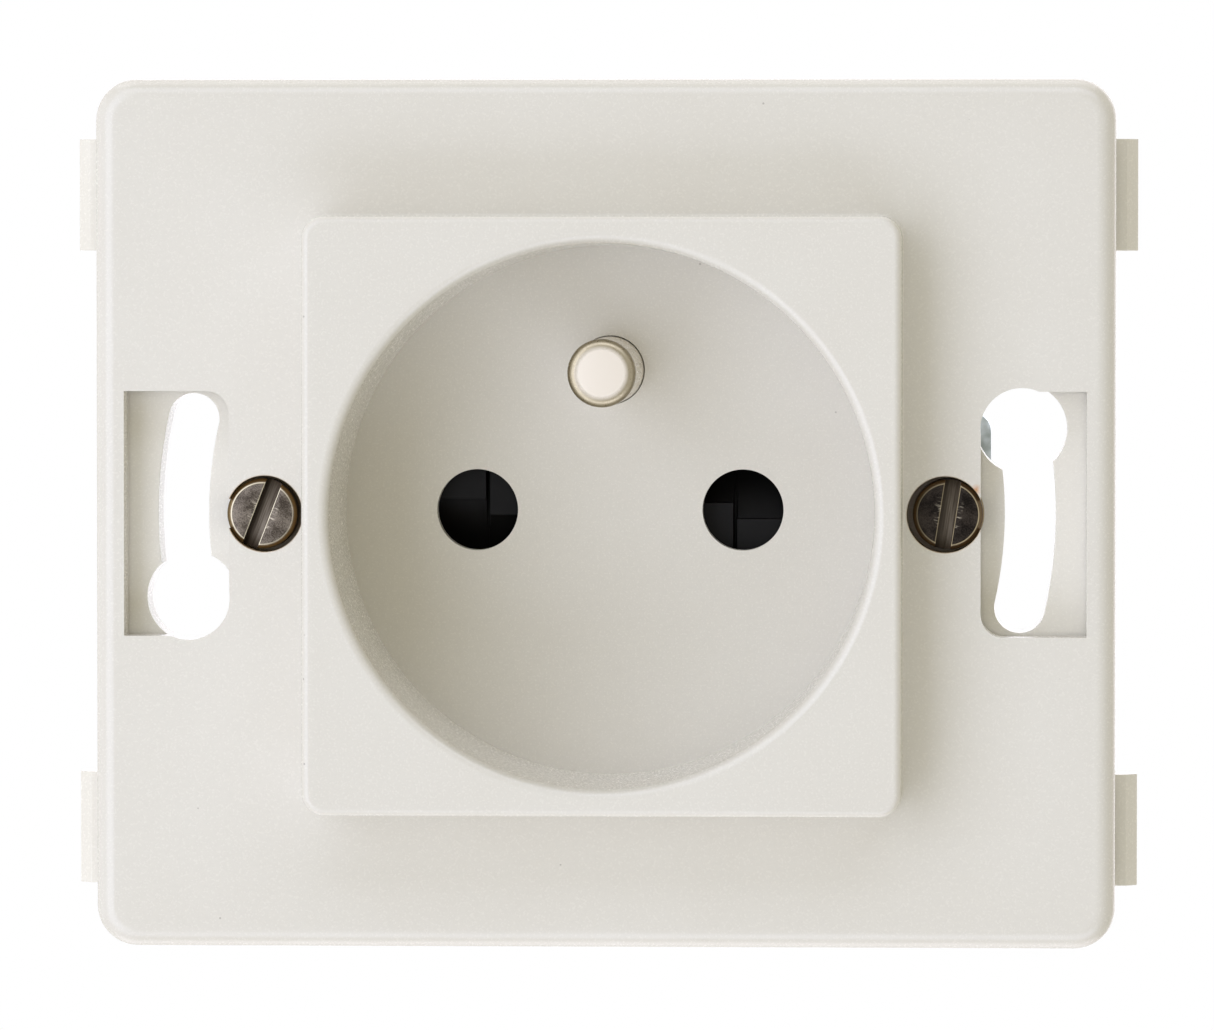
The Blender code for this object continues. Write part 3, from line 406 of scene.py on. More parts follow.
def carve(obj, cuts):
    """Runs (operation, shape) pairs through Boolean modifiers and bakes the result."""
    tools = []
    for operation, shape in cuts:
        tool = shape_object("tool", shape)
        tools.append(tool)
        modifier = obj.modifiers.new("carve", "BOOLEAN")
        modifier.operation = operation
        modifier.solver = "EXACT"
        modifier.object = tool
    result = baked(obj)
    for tool in tools:
        bpy.data.objects.remove(tool, do_unlink=True)
    return result


def tidy_faces(obj, double=0.002, flat_angle=0.4):
    """Merges doubled points and joins faces that lie in one plane."""
    shape = bmesh.new()
    shape.from_mesh(obj.data)
    bmesh.ops.remove_doubles(shape, verts=shape.verts, dist=double * MM)
    bmesh.ops.dissolve_limit(
        shape,
        angle_limit=math.radians(flat_angle),
        verts=shape.verts,
        edges=shape.edges,
        delimit=set(),
    )
    shape.to_mesh(obj.data)
    shape.free()


def merge_slivers(obj, thickness=0.0008):
    """Splits faces of many corners into triangles and merges away those thinner than a micron."""
    shape = bmesh.new()
    shape.from_mesh(obj.data)
    for merge in (True, False):
        bmesh.ops.triangulate(shape, faces=[face for face in shape.faces if len(face.verts) > 4])
        if merge:
            bmesh.ops.dissolve_degenerate(shape, dist=thickness * MM, edges=shape.edges)
    shape.to_mesh(obj.data)
    shape.free()


def round_edges(obj, width, steps, angle):
    bevel = obj.modifiers.new("edge", "BEVEL")
    bevel.width = width * MM
    bevel.segments = steps
    bevel.limit_method = "ANGLE"
    bevel.angle_limit = math.radians(angle)
    return bevel


def soften(obj, width, steps=2, angle=32.0, slivers=False):
    """Rounds every hard edge a little, as a mould or a press leaves it, and shades it evenly."""
    bevel = round_edges(obj, width, steps, angle)
    bevel.miter_outer = "MITER_ARC"
    bevel.use_clamp_overlap = True
    if slivers:
        obj = baked(obj)
        merge_slivers(obj)
    obj.data.shade_smooth()
    normals = obj.modifiers.new("normals", "WEIGHTED_NORMAL")
    normals.keep_sharp = False
    normals.weight = 80
    return baked(obj)


# Front cover

def keyhole_centre(angle):
    turn = math.radians(angle)
    return (FIXING_R * math.cos(turn), FIXING_R * math.sin(turn))


def window_outlines(side):
    inner, outer, half = WINDOW_INNER_X, WINDOW_OUTER_X, WINDOW_HALF_H
    centre = keyhole_centre(KEYHOLE_BULB_ANGLE)
    outline = [(outer, -half), (outer, half), (centre[0], half), (inner, centre[1])]
    corner = (inner + WINDOW_CORNER_R, WINDOW_CORNER_R - half)
    outline += arc(corner, WINDOW_CORNER_R, 180.0, 270.0, WINDOW_STEPS)
    round_end = circle(WINDOW_ROUND_R, HOLE_STEPS, centre)
    return turned_about(side, outline), turned_about(side, round_end)


def recess_shape():
    rim = (RIM_R + RIM_FILLET, BOSS_FRONT - RIM_FILLET)
    profile = [(FLOOR_R, FLOOR_FRONT)] + arc(rim, RIM_FILLET, 180.0, 90.0, CORNER_STEPS)
    profile.append((RIM_R + RIM_FILLET, BOSS_FRONT + CUT_OVER))
    return turned(profile, WIDE_STEPS)


def boss_shape():
    """Square boss with a soft front edge and a small fillet at its foot."""
    foot = (-BOSS_FOOT, PLATE_FRONT + BOSS_FOOT)
    front = (BOSS_FILLET, BOSS_FRONT - BOSS_FILLET)
    levels = [(0.0, PLATE_BACK), (-BOSS_FOOT, PLATE_FRONT - BOSS_SINK)]
    levels += arc(foot, BOSS_FOOT, 270.0, 360.0, FOOT_STEPS)
    levels += arc(front, BOSS_FILLET, 180.0, 90.0, EDGE_STEPS)
    return stepped(BOSS_HALF, BOSS_HALF, BOSS_CORNER_R, levels)


def make_cover():
    roll = arc((EDGE_ROLL, PLATE_FRONT - EDGE_ROLL), EDGE_ROLL, 180.0, 90.0, ROLL_STEPS)
    slab = stepped(COVER_W / 2, COVER_H / 2, COVER_CORNER_R, [(0.0, SKIRT_END)] + roll)
    cover = shape_object("cover_moulding", slab)
    cavity = rounded_rectangle(COVER_W / 2 - SKIRT_T, COVER_H / 2 - SKIRT_T, COVER_CORNER_R - SKIRT_T)
    boss_back = BOSS_FRONT - BOSS_WALL
    hollow = (BOSS_WALL - BOSS_HALF, BOSS_HALF - BOSS_WALL)
    pillar = (FLOOR_BACK, boss_back + OVERLAP)
    cuts = [
        ("DIFFERENCE", prism(cavity, SKIRT_END - CUT_OVER, PLATE_BACK)),
        ("UNION", boss_shape()),
        ("DIFFERENCE", block(hollow, hollow, (PLATE_BACK - CUT_OVER, boss_back))),
        ("UNION", cylinder(CUP_R, *pillar, WIDE_STEPS)),
    ]
    for sx, sy in ((1, 1), (-1, -1), (-1, 1), (1, -1)):
        centre = (sx * PILLAR_X, sy * PILLAR_Y)
        cuts.append(("UNION", cylinder(PILLAR_R, *pillar, PILLAR_STEPS, centre)))
        if sx == sy:
            bore = (FLOOR_BACK - CUT_OVER, FLOOR_BACK + SCREW_BORE_DEPTH)
            cuts.append(("DIFFERENCE", cylinder(SCREW_BORE_R, *bore, BORE_STEPS, centre)))
        else:
            peg = (FLOOR_BACK - PEG_L, FLOOR_BACK + OVERLAP)
            cuts.append(("UNION", cylinder(PEG_R, *peg, BORE_STEPS, centre)))
    cuts.append(("DIFFERENCE", recess_shape()))
    through = (FLOOR_BACK - CUT_OVER, FLOOR_FRONT + CUT_OVER)
    front = (SKIRT_END, PLATE_FRONT + CUT_OVER)
    for side in SIDES:
        cuts.append(("DIFFERENCE", cylinder(PIN_HOLE_R, *through, HOLE_STEPS, (side * PIN_X, 0.0))))
        for outline in window_outlines(side):
            cuts.append(("DIFFERENCE", prism(outline, *front)))
        counterbore = (side * COUNTERBORE_X, 0.0)
        cuts.append(("DIFFERENCE", cylinder(COUNTERBORE_R, *front, HOLE_STEPS, counterbore)))
    cuts.append(("DIFFERENCE", cylinder(EARTH_HOLE_R, *through, HOLE_STEPS, (0.0, EARTH_Y))))
    cover = carve(cover, cuts)
    tidy_faces(cover)
    return soften(cover, COVER_EDGE)


# Support frame

def keyhole_outlines(side):
    half = KEYHOLE_SLOT_W / 2
    start, stop = KEYHOLE_BULB_ANGLE, -KEYHOLE_END_ANGLE
    outline = arc((0.0, 0.0), FIXING_R + half, start, stop, KEYHOLE_STEPS)
    outline += arc(keyhole_centre(stop), half, stop, stop - 180.0, KEYHOLE_STEPS)[1:-1]
    outline += arc((0.0, 0.0), FIXING_R - half, stop, start, KEYHOLE_STEPS)
    round_end = circle(KEYHOLE_BULB_R, HOLE_STEPS, keyhole_centre(start))
    return turned_about(side, outline), turned_about(side, round_end)


def frame_tab(x_side, y_side):
    root = FRAME_W / 2 - OVERLAP
    profile = [
        (root, 0.0),
        (TAB_REACH_X, 0.0),
        (TAB_REACH_X, TAB_T - TAB_CHAMFER),
        (TAB_REACH_X - TAB_CHAMFER, TAB_T),
        (root, TAB_T),
    ]
    middle = y_side * TAB_Y
    placed = [(x_side * x, z) for x, z in profile]
    return prism_y(placed, middle - TAB_H / 2, middle + TAB_H / 2)


def make_frame():
    outline = rounded_rectangle(FRAME_W / 2, FRAME_H / 2, FRAME_CORNER_R)
    frame_plate = shape_object("support_frame_moulding", prism(outline, 0.0, FRAME_FRONT))
    opening = rounded_rectangle(OPENING_HALF, OPENING_HALF, BOSS_CORNER_R)
    whole = (-CUT_OVER, FRAME_FRONT + CUT_OVER)
    cuts = [("DIFFERENCE", prism(opening, *whole))]
    for side in SIDES:
        for hole in keyhole_outlines(side):
            cuts.append(("DIFFERENCE", prism(hole, *whole)))
        middle = (side * SCREW_X, 0.0)
        cuts.append(("DIFFERENCE", cylinder(SCREW_CLEAR_R, *whole, CLEARANCE_STEPS, middle)))
        for y_side in SIDES:
            x_span = (side * POCKET_IN_X, side * POCKET_OUT_X)
            y_span = (y_side * POCKET_LOW_Y, y_side * POCKET_HIGH_Y)
            cuts.append(("DIFFERENCE", block(x_span, y_span, (-CUT_OVER, POCKET_DEPTH))))
            cuts.append(("UNION", frame_tab(side, y_side)))
    frame_plate = carve(frame_plate, cuts)
    tidy_faces(frame_plate)
    return soften(frame_plate, FRAME_EDGE)


# Earth pin

def make_earth_pin():
    """Turned pin: flange, riveted end, and a tip whose edge the lathe has broken."""
    edge = EARTH_PIN_R - EARTH_TIP_R
    rivet_end = RIVET_BACK - RIVET_HEAD_T
    rivet_edge = (RIVET_HEAD_R - RIVET_ROLL, rivet_end + RIVET_ROLL)
    profile = [(AXIS_R, rivet_end)] + arc(rivet_edge, RIVET_ROLL, 270.0, 360.0, EDGE_STEPS)
    profile += [
        (RIVET_HEAD_R, RIVET_BACK),
        (RIVET_R, RIVET_BACK),
        (RIVET_R, RIVET_SEAT),
        (EARTH_PIN_R, RIVET_SEAT),
        (EARTH_PIN_R, FLANGE_BACK),
        (FLANGE_R, FLANGE_BACK),
        (FLANGE_R, HOUSING_FRONT),
        (EARTH_PIN_R, HOUSING_FRONT),
    ]
    profile += arc((EARTH_TIP_R, EARTH_TIP_Z - edge), edge, 0.0, 90.0, CORNER_STEPS)
    profile.append((AXIS_R, EARTH_TIP_Z))
    pin = shape_object("earth_pin_turned", turned(profile, PIN_STEPS, (0.0, EARTH_Y)))
    return soften(pin, PIN_EDGE, 1, 40.0)


# Nodes

def set_values(tree, node, values):
    """Sets a node's properties and inputs; where a value is a node or a socket, it is linked."""
    for key, value in values.items():
        if isinstance(key, str) and hasattr(node, key):
            setattr(node, key, value)
            continue
        if isinstance(value, bpy.types.Node):
            value = value.outputs[0]
        if isinstance(value, bpy.types.NodeSocket):
            tree.links.new(value, node.inputs[key])
        else:
            node.inputs[key].default_value = value


def add_node(tree, kind, values=None):
    node = tree.nodes.new(kind)
    set_values(tree, node, values or {})
    return node


# Screws and spring, grown from node trees

def geometry_tree(name, labels):
    """Node tree with its named inputs, numbers and then a material, and their sockets inside it."""
    tree = bpy.data.node_groups.new(name, "GeometryNodeTree")
    inputs = [("Geometry", "Geometry"), *((label, "Float") for label in labels), ("Material", "Material")]
    for label, kind in inputs:
        tree.interface.new_socket(name=label, in_out="INPUT", socket_type=f"NodeSocket{kind}")
    tree.interface.new_socket(name="Geometry", in_out="OUTPUT", socket_type="NodeSocketGeometry")
    return tree, add_node(tree, "NodeGroupInput").outputs


def end_tree(tree, geometry, material):
    """Makes instances real, sets the material and hands the geometry out."""
    real = add_node(tree, "GeometryNodeRealizeInstances", {"Geometry": geometry})
    dressed = add_node(tree, "GeometryNodeSetMaterial", {"Geometry": real, "Material": material})
    add_node(tree, "NodeGroupOutput", {"Geometry": dressed})
    return tree


def add_tree(obj, tree, values):
    """Node modifier whose named inputs are set by their sockets' identifiers."""
    modifier = obj.modifiers.new(tree.name, "NODES")
    modifier.node_group = tree
    for item in tree.interface.items_tree:
        if item.in_out == "INPUT" and item.name in values:
            modifier[item.identifier] = values[item.name]


def raised(tree, shape, height):
    lift = add_node(tree, "ShaderNodeCombineXYZ", {"Z": height})
    return add_node(tree, "GeometryNodeTransform", {"Geometry": shape, "Translation": lift})


def drawn_in(tree, shape, here, inset, radius):
    """Draws a round shape's points in towards its axis, by an inset that may vary from point to point."""
    share = add_node(tree, MATH, {"operation": "DIVIDE", 0: inset, 1: radius})
    narrow = add_node(tree, MATH, {"operation": "SUBTRACT", 0: 1.0, 1: share})
    scale = add_node(tree, "ShaderNodeCombineXYZ", {"X": narrow, "Y": narrow, "Z": 1.0})
    where = add_node(tree, VECTOR_MATH, {"operation": "MULTIPLY", 0: here, 1: scale})
    return add_node(tree, "GeometryNodeSetPosition", {"Geometry": shape, "Position": where})


def screw_head_tree():
    """Round head above z = 0, with its front edge broken at 45 degrees and a sawn slot across it."""
    tree, given = geometry_tree("slotted_head", ("Radius", "Height", "Edge", "Slot width", "Slot depth"))
    head = add_node(tree, "GeometryNodeMeshCylinder", {
        "Vertices": 96, "Side Segments": 24, "Fill Segments": 1,
        "Radius": given["Radius"], "Depth": given["Height"],
    })
    half = add_node(tree, MATH, {"operation": "MULTIPLY", 0: given["Height"], 1: 0.5})
    head = raised(tree, head, half)
    here = add_node(tree, "GeometryNodeInputPosition")
    place = add_node(tree, "ShaderNodeSeparateXYZ", {0: here}).outputs
    shoulder = add_node(tree, MATH, {"operation": "SUBTRACT", 0: given["Height"], 1: given["Edge"]})
    rise = add_node(tree, MATH, {"operation": "SUBTRACT", 0: place["Z"], 1: shoulder})
    inset = add_node(tree, MATH, {"operation": "MAXIMUM", 0: rise, 1: 0.0})
    head = drawn_in(tree, head, here, inset, given["Radius"])
    # The saw reaches past the head on both sides, and as far above its top as below
    across = add_node(tree, MATH, {"operation": "MULTIPLY", 0: given["Radius"], 1: 2.5})
    deep = add_node(tree, MATH, {"operation": "MULTIPLY", 0: given["Slot depth"], 1: 2.0})
    size = add_node(tree, "ShaderNodeCombineXYZ", {"X": given["Slot width"], "Y": across, "Z": deep})
    saw = raised(tree, add_node(tree, "GeometryNodeMeshCube", {"Size": size}), given["Height"])
    sawn = add_node(tree, "GeometryNodeMeshBoolean", {
        "operation": "DIFFERENCE", "solver": "EXACT", 0: head, 1: saw,
    })
    return end_tree(tree, sawn, given["Material"])


def screw_thread_tree():
    """Adds a shank below z = 0 whose thread winds down it, under a plain neck, to a tapered tip."""
    tree, given = geometry_tree("threaded_shank", ("Radius", "Length", "Neck", "Pitch", "Depth", "Tip"))
    pitches = add_node(tree, MATH, {"operation": "DIVIDE", 0: given["Length"], 1: given["Pitch"]})
    rings = add_node(tree, MATH, {"operation": "MULTIPLY", 0: pitches, 1: THREAD_RINGS})
    shank = add_node(tree, "GeometryNodeMeshCylinder", {
        "Vertices": 32, "Fill Segments": 1,
        "Radius": given["Radius"], "Depth": given["Length"], "Side Segments": rings,
    })
    half = add_node(tree, MATH, {"operation": "MULTIPLY", 0: given["Length"], 1: -0.5})
    shank = raised(tree, shank, half)
    here = add_node(tree, "GeometryNodeInputPosition")
    place = add_node(tree, "ShaderNodeSeparateXYZ", {0: here}).outputs
    # The groove deepens from each crest of the winding thread to the root between crests
    turn = add_node(tree, MATH, {"operation": "ARCTAN2", 0: place["Y"], 1: place["X"]})
    share = add_node(tree, MATH, {"operation": "DIVIDE", 0: turn, 1: 2 * math.pi})
    climb = add_node(tree, MATH, {"operation": "DIVIDE", 0: place["Z"], 1: given["Pitch"]})
    phase = add_node(tree, MATH, {"operation": "SUBTRACT", 0: climb, 1: share})
    flank = add_node(tree, MATH, {"operation": "PINGPONG", 0: phase, 1: 0.5})
    groove = add_node(tree, MAP_RANGE, {"Value": flank, "From Min": 0.08, "From Max": 0.44})
    # It starts over one pitch below the plain neck
    neck_end = add_node(tree, MATH, {"operation": "MULTIPLY", 0: given["Neck"], 1: -1.0})
    full = add_node(tree, MATH, {"operation": "SUBTRACT", 0: neck_end, 1: given["Pitch"]})
    fade = add_node(tree, MAP_RANGE, {
        "Value": place["Z"], "From Min": full, "From Max": neck_end, "To Min": 1.0, "To Max": 0.0,
    })
    bite = add_node(tree, MATH, {"operation": "MULTIPLY", 0: groove, 1: fade})
    deep = add_node(tree, MATH, {"operation": "MULTIPLY", 0: bite, 1: given["Depth"]})
    end = add_node(tree, MATH, {"operation": "MULTIPLY", 0: given["Length"], 1: -1.0})
    tip_start = add_node(tree, MATH, {"operation": "ADD", 0: end, 1: given["Tip"]})
    taper = add_node(tree, MAP_RANGE, {
        "Value": place["Z"], "From Min": end, "From Max": tip_start, "To Min": given["Tip"], "To Max": 0.0,
    })
    inset = add_node(tree, MATH, {"operation": "MAXIMUM", 0: deep, 1: taper})
    shank = drawn_in(tree, shank, here, inset, given["Radius"])
    both = add_node(tree, "GeometryNodeJoinGeometry", {0: shank})
    tree.links.new(given["Geometry"], both.inputs[0])
    marked = add_node(tree, "GeometryNodeStoreNamedAttribute", {
        "data_type": "FLOAT_VECTOR", "domain": "POINT",
        "Name": "screw_place", "Geometry": both, "Value": here,
    })
    return end_tree(tree, marked, given["Material"])


def make_screw(name, sizes, seat, turn, trees, material):
    """One screw with its head's underside at the seat, turned about y and then z."""
    screw = add_object(name, bpy.data.meshes.new(name))
    add_tree(screw, trees["head"], {**in_metres(sizes["head"]), "Material": material})
    round_edges(screw, HEAD_EDGE, 2, 35.0)
    add_tree(screw, trees["shank"], {**in_metres(sizes["shank"]), "Material": material})
    screw = baked(screw)
    merge_slivers(screw)
    spin = Matrix.Rotation(math.radians(turn[1]), 4, "Z") @ Matrix.Rotation(math.radians(turn[0]), 4, "Y")
    screw.data.transform(UPRIGHT @ Matrix.Translation(Vector(seat) * MM) @ spin)
    screw.data.shade_smooth()
    screw.data.set_sharp_from_angle(angle=math.radians(38.0))
    return screw


def make_screws():
    trees = {"head": screw_head_tree(), "shank": screw_thread_tree()}
    # Each claw screw's painted highlight is strongest towards the side given after its tones
    for word, side, turn, tones, rubbed_and_lit in (
        ("left", -1, -21.0, LEFT_TONES, (-0.9, 0.3, 0.0)),
        ("right", 1, -9.0, RIGHT_TONES, (1.0, 0.0, 0.0)),
    ):
        seat = (side * SCREW_X, 0.0, PLATE_BACK)
        steel = worn_screw_steel(f"dulled_zinc_steel_{word}", CLAW_SCREW["head"], tones, rubbed_and_lit)
        screw = make_screw(f"{word}_claw_bolt", CLAW_SCREW, seat, (0.0, turn), trees, steel)
        finish_piece(screw, steel, f"{word}_claw_screw")
    steel = worn_screw_steel("bright_zinc_steel_terminal", TERMINAL_SCREW["head"], NEW_TONES, NORTH)
    for word, x, y in (("live", CAGE_X, -CAGE_Y), ("neutral", -CAGE_X, -CAGE_Y), ("earth", 0.0, CAGE_Y)):
        seat = (x, y, CAGE_BACK - GAP)
        screw = make_screw(f"{word}_clamp_screw", TERMINAL_SCREW, seat, (180.0, 25.0), trees, steel)
        finish_piece(screw, steel, f"{word}_terminal_screw")
    steel = worn_screw_steel("bright_zinc_steel_housing", HOUSING_SCREW["head"], NEW_TONES, NORTH)
    for word, side in (("upper", 1), ("lower", -1)):
        seat = (side * PILLAR_X, side * PILLAR_Y, HOUSING_HEAD_SEAT)
        screw = make_screw(f"{word}_block_screw", HOUSING_SCREW, seat, (180.0, 40.0), trees, steel)
        finish_piece(screw, steel, f"{word}_housing_screw")


def spring_tree():
    """Torsion spring about z: a leg down, the coil rising turn by turn, and a leg up."""
    tree, given = geometry_tree("torsion_spring", (
        "Coil radius", "Wire radius", "Turns", "Rise", "Start angle", "Lower leg", "Upper leg",
    ))
    line = add_node(tree, "GeometryNodeCurvePrimitiveLine")
    points = add_node(tree, "GeometryNodeResampleCurve", {"Count": 260, "Curve": line})
    along = add_node(tree, "GeometryNodeSplineParameter").outputs["Factor"]
    # Each leg takes 3 % of the points, and the coil takes the rest
    wound = add_node(tree, MAP_RANGE, {"Value": along, "From Min": 0.03, "From Max": 0.97})
    turns = add_node(tree, MATH, {"operation": "MULTIPLY", 0: wound, 1: given["Turns"]})
    angle = add_node(tree, MATH, {
        "operation": "MULTIPLY_ADD", 0: turns, 1: 2 * math.pi, 2: given["Start angle"],
    })
    east = add_node(tree, MATH, {"operation": "COSINE", 0: angle})
    north = add_node(tree, MATH, {"operation": "SINE", 0: angle})
    ring = add_node(tree, "ShaderNodeCombineXYZ", {"X": east, "Y": north})
    ring = add_node(tree, VECTOR_MATH, {"operation": "SCALE", 0: ring, "Scale": given["Coil radius"]})
    below = add_node(tree, MATH, {"operation": "MULTIPLY", 0: given["Lower leg"], 1: -1.0})
    leg_down = add_node(tree, MAP_RANGE, {"Value": along, "From Max": 0.03, "To Min": below, "To Max": 0.0})
    leg_up = add_node(tree, MAP_RANGE, {"Value": along, "From Min": 0.97, "To Max": given["Upper leg"]})
    rise = add_node(tree, MATH, {"operation": "MULTIPLY", 0: wound, 1: given["Rise"]})
    legs = add_node(tree, MATH, {"operation": "ADD", 0: leg_down, 1: leg_up})
    height = add_node(tree, MATH, {"operation": "ADD", 0: rise, 1: legs})
    up = add_node(tree, "ShaderNodeCombineXYZ", {"Z": height})
    where = add_node(tree, VECTOR_MATH, {"operation": "ADD", 0: ring, 1: up})
    path = add_node(tree, "GeometryNodeSetPosition", {"Geometry": points, "Position": where})
    wire = add_node(tree, "GeometryNodeCurvePrimitiveCircle", {
        "Resolution": 16, "Radius": given["Wire radius"],
    })
    swept = add_node(tree, "GeometryNodeCurveToMesh", {
        "Curve": path, "Profile Curve": wire, "Fill Caps": True,
    })
    return end_tree(tree, swept, given["Material"])


def make_spring(material):
    spring = add_object("shutter_return_spring", bpy.data.meshes.new("shutter_return_spring"))
    values = in_metres({
        "Coil radius": SPRING_COIL_R, "Wire radius": SPRING_WIRE_R, "Rise": SPRING_RISE,
        "Lower leg": SPRING_LOWER_LEG, "Upper leg": SPRING_UPPER_LEG,
    })
    values.update({"Turns": SPRING_TURNS, "Start angle": math.radians(SPRING_START), "Material": material})
    add_tree(spring, spring_tree(), values)
    spring = baked(spring)
    spring.data.transform(UPRIGHT @ Matrix.Translation(Vector((0.0, 0.0, SPRING_LOW)) * MM))
    spring.data.shade_smooth()
    return spring


# Pieces whose shape comes from their solid

def refined(node, edge):
    """Copy of a solid with its loose triangles joined and its edges softened."""
    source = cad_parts[node]
    obj = add_object(f"{node}_fine", source.data.copy())
    tidy_faces(obj)
    return soften(obj, edge, slivers=node in SLIVERED)


# Materials

def linear(hex_colour):
    """Linear colour with full alpha from an sRGB hex value."""
    channels = []
    for i in (0, 2, 4):
        value = int(hex_colour[i:i + 2], 16) / 255
        channels.append(value / 12.92 if value <= 0.04045 else ((value + 0.055) / 1.055) ** 2.4)
    return (*channels, 1.0)


def new_material(name):
    material = bpy.data.materials.new(name)
    material.use_nodes = True
    return material, material.node_tree, material.node_tree.nodes["Principled BSDF"]


def per_metre(size_mm):
    """Noise scale whose features are about this many millimetres across."""
    return 1.0 / (size_mm * MM)


def between(tree, value, low, high, soft):
    """1 where a value lies between two lengths in millimetres, fading out over a soft edge."""
    up = add_node(tree, MAP_RANGE, {"Value": value, "From Min": (low - soft) * MM, "From Max": low * MM})
    down = add_node(tree, MAP_RANGE, {
        "Value": value, "From Min": high * MM, "From Max": (high + soft) * MM, "To Min": 1.0, "To Max": 0.0,
    })
    return add_node(tree, MATH, {"operation": "MULTIPLY", 0: up, 1: down}).outputs[0]


def moulded_aminoplast(name, tone, shade, stain):
    """Compression-moulded urea resin: satin, faintly mottled, with a few dark grains of filler."""
    material, tree, shader = new_material(name)
    place = add_node(tree, "ShaderNodeTexCoord").outputs["Object"]
    cloud = add_node(tree, NOISE, {"Vector": place, "Scale": per_metre(9.0), "Detail": 3.0})
    tint = add_node(tree, MIX, {"data_type": "RGBA", 0: cloud, 6: linear(tone), 7: linear(shade)}).outputs[2]
    grain = add_node(tree, NOISE, {"Vector": place, "Scale": per_metre(0.28), "Detail": 2.0})
    mottle = add_node(tree, MAP_RANGE, {
        "Value": grain, "From Min": 0.3, "From Max": 0.7, "To Min": 0.985, "To Max": 1.012,
    })
    toned = add_node(tree, VECTOR_MATH, {"operation": "SCALE", 0: tint, "Scale": mottle})
    # Grains of filler 0.15 mm across, about one to every two square centimetres
    cells = add_node(tree, "ShaderNodeTexVoronoi", {"Vector": place, "Scale": per_metre(1.6)})
    speck = add_node(tree, MAP_RANGE, {
        "Value": cells, "From Min": 0.035, "From Max": 0.06, "To Min": 1.0, "To Max": 0.0,
    })
    draw = add_node(tree, "ShaderNodeSeparateColor", {0: cells.outputs["Color"]})
    chosen = add_node(tree, MATH, {"operation": "LESS_THAN", 0: draw, 1: 0.09})
    few = add_node(tree, MATH, {"operation": "MULTIPLY", 0: speck, 1: chosen})
    faint = add_node(tree, MATH, {"operation": "MULTIPLY", 0: few, 1: 0.45})
    surface = add_node(tree, MIX, {"data_type": "RGBA", 0: faint, 6: toned, 7: linear("6E6455")}).outputs[2]
    # Brown down the screw holes and round the screw heads: partly grime where a cloth never reaches, partly
    # painted shade of the deep gap
    for side in SIDES:
        hole = to_room((side * COUNTERBORE_X, 0.0, 0.0))
        middle = add_node(tree, "ShaderNodeMapping", {"Location": -hole, "Vector": place})
        flat = add_node(tree, VECTOR_MATH, {"operation": "MULTIPLY", 0: middle, 1: (1.0, 0.0, 1.0)})
        reach = add_node(tree, VECTOR_MATH, {"operation": "LENGTH", 0: flat}).outputs["Value"]
        depth = add_node(tree, "ShaderNodeSeparateXYZ", {0: middle}).outputs["Y"]
        hole_dirt_and_shade = add_node(tree, MATH, {
            "operation": "MULTIPLY",
            0: between(tree, reach, BELOW_ALL, COUNTERBORE_R + 0.03, 0.04),
            1: between(tree, depth, 0.15 - PLATE_FRONT, 0.0, 0.3),
        })
        surface = add_node(tree, MIX, {
            "data_type": "RGBA", 0: hole_dirt_and_shade, 6: surface, 7: linear("B89F78"),
        }).outputs[2]
    if stain:
        surface = stained(tree, place, surface, stain)
    fine = add_node(tree, NOISE, {"Vector": place, "Scale": per_metre(0.16), "Detail": 3.0})
    gloss = add_node(tree, MAP_RANGE, {
        "Value": fine, "From Min": 0.3, "From Max": 0.7, "To Min": 0.2, "To Max": 0.3,
    })
    bump = add_node(tree, BUMP, {"Height": fine, "Strength": 0.35, "Distance": 0.012 * MM})
    set_values(tree, shader, {"Base Color": surface, "Roughness": gloss, "Normal": bump, "IOR": 1.55})
    return material


def stained(tree, place, colour, stain):
    """Rust-brown stain that spreads from a point, with a ragged edge."""
    centre, radius, hex_colour, strength = stain
    shift = add_node(tree, VECTOR_MATH, {"operation": "DISTANCE", 0: place, 1: to_room(centre)})
    ragged = add_node(tree, NOISE, {"Vector": place, "Scale": per_metre(0.5), "Detail": 2.0})
    reach = add_node(tree, MATH, {
        "operation": "MULTIPLY_ADD", 0: ragged, 1: radius * MM, 2: shift.outputs["Value"],
    })
    mask = add_node(tree, MAP_RANGE, {
        "Value": reach, "From Min": 0.6 * radius * MM, "From Max": 1.6 * radius * MM,
        "To Min": strength, "To Max": 0.0,
    })
    return add_node(tree, MIX, {"data_type": "RGBA", 0: mask, 6: colour, 7: linear(hex_colour)}).outputs[2]


def moulded_phenolic(name, tone, cloud_tone, roughness, specular):
    """Black phenolic moulding: dense, faintly cloudy, with a soft sheen."""
    material, tree, shader = new_material(name)
    place = add_node(tree, "ShaderNodeTexCoord").outputs["Object"]
    cloud = add_node(tree, NOISE, {"Vector": place, "Scale": per_metre(1.2), "Detail": 4.0})
    tint = add_node(tree, MIX, {
        "data_type": "RGBA", 0: cloud, 6: linear(tone), 7: linear(cloud_tone),
    }).outputs[2]
    bump = add_node(tree, BUMP, {"Height": cloud, "Strength": 0.3, "Distance": 0.02 * MM})
    set_values(tree, shader, {
        "Base Color": tint, "Normal": bump,
        "Roughness": roughness, "IOR": 1.6, "Specular IOR Level": specular,
    })
    return material


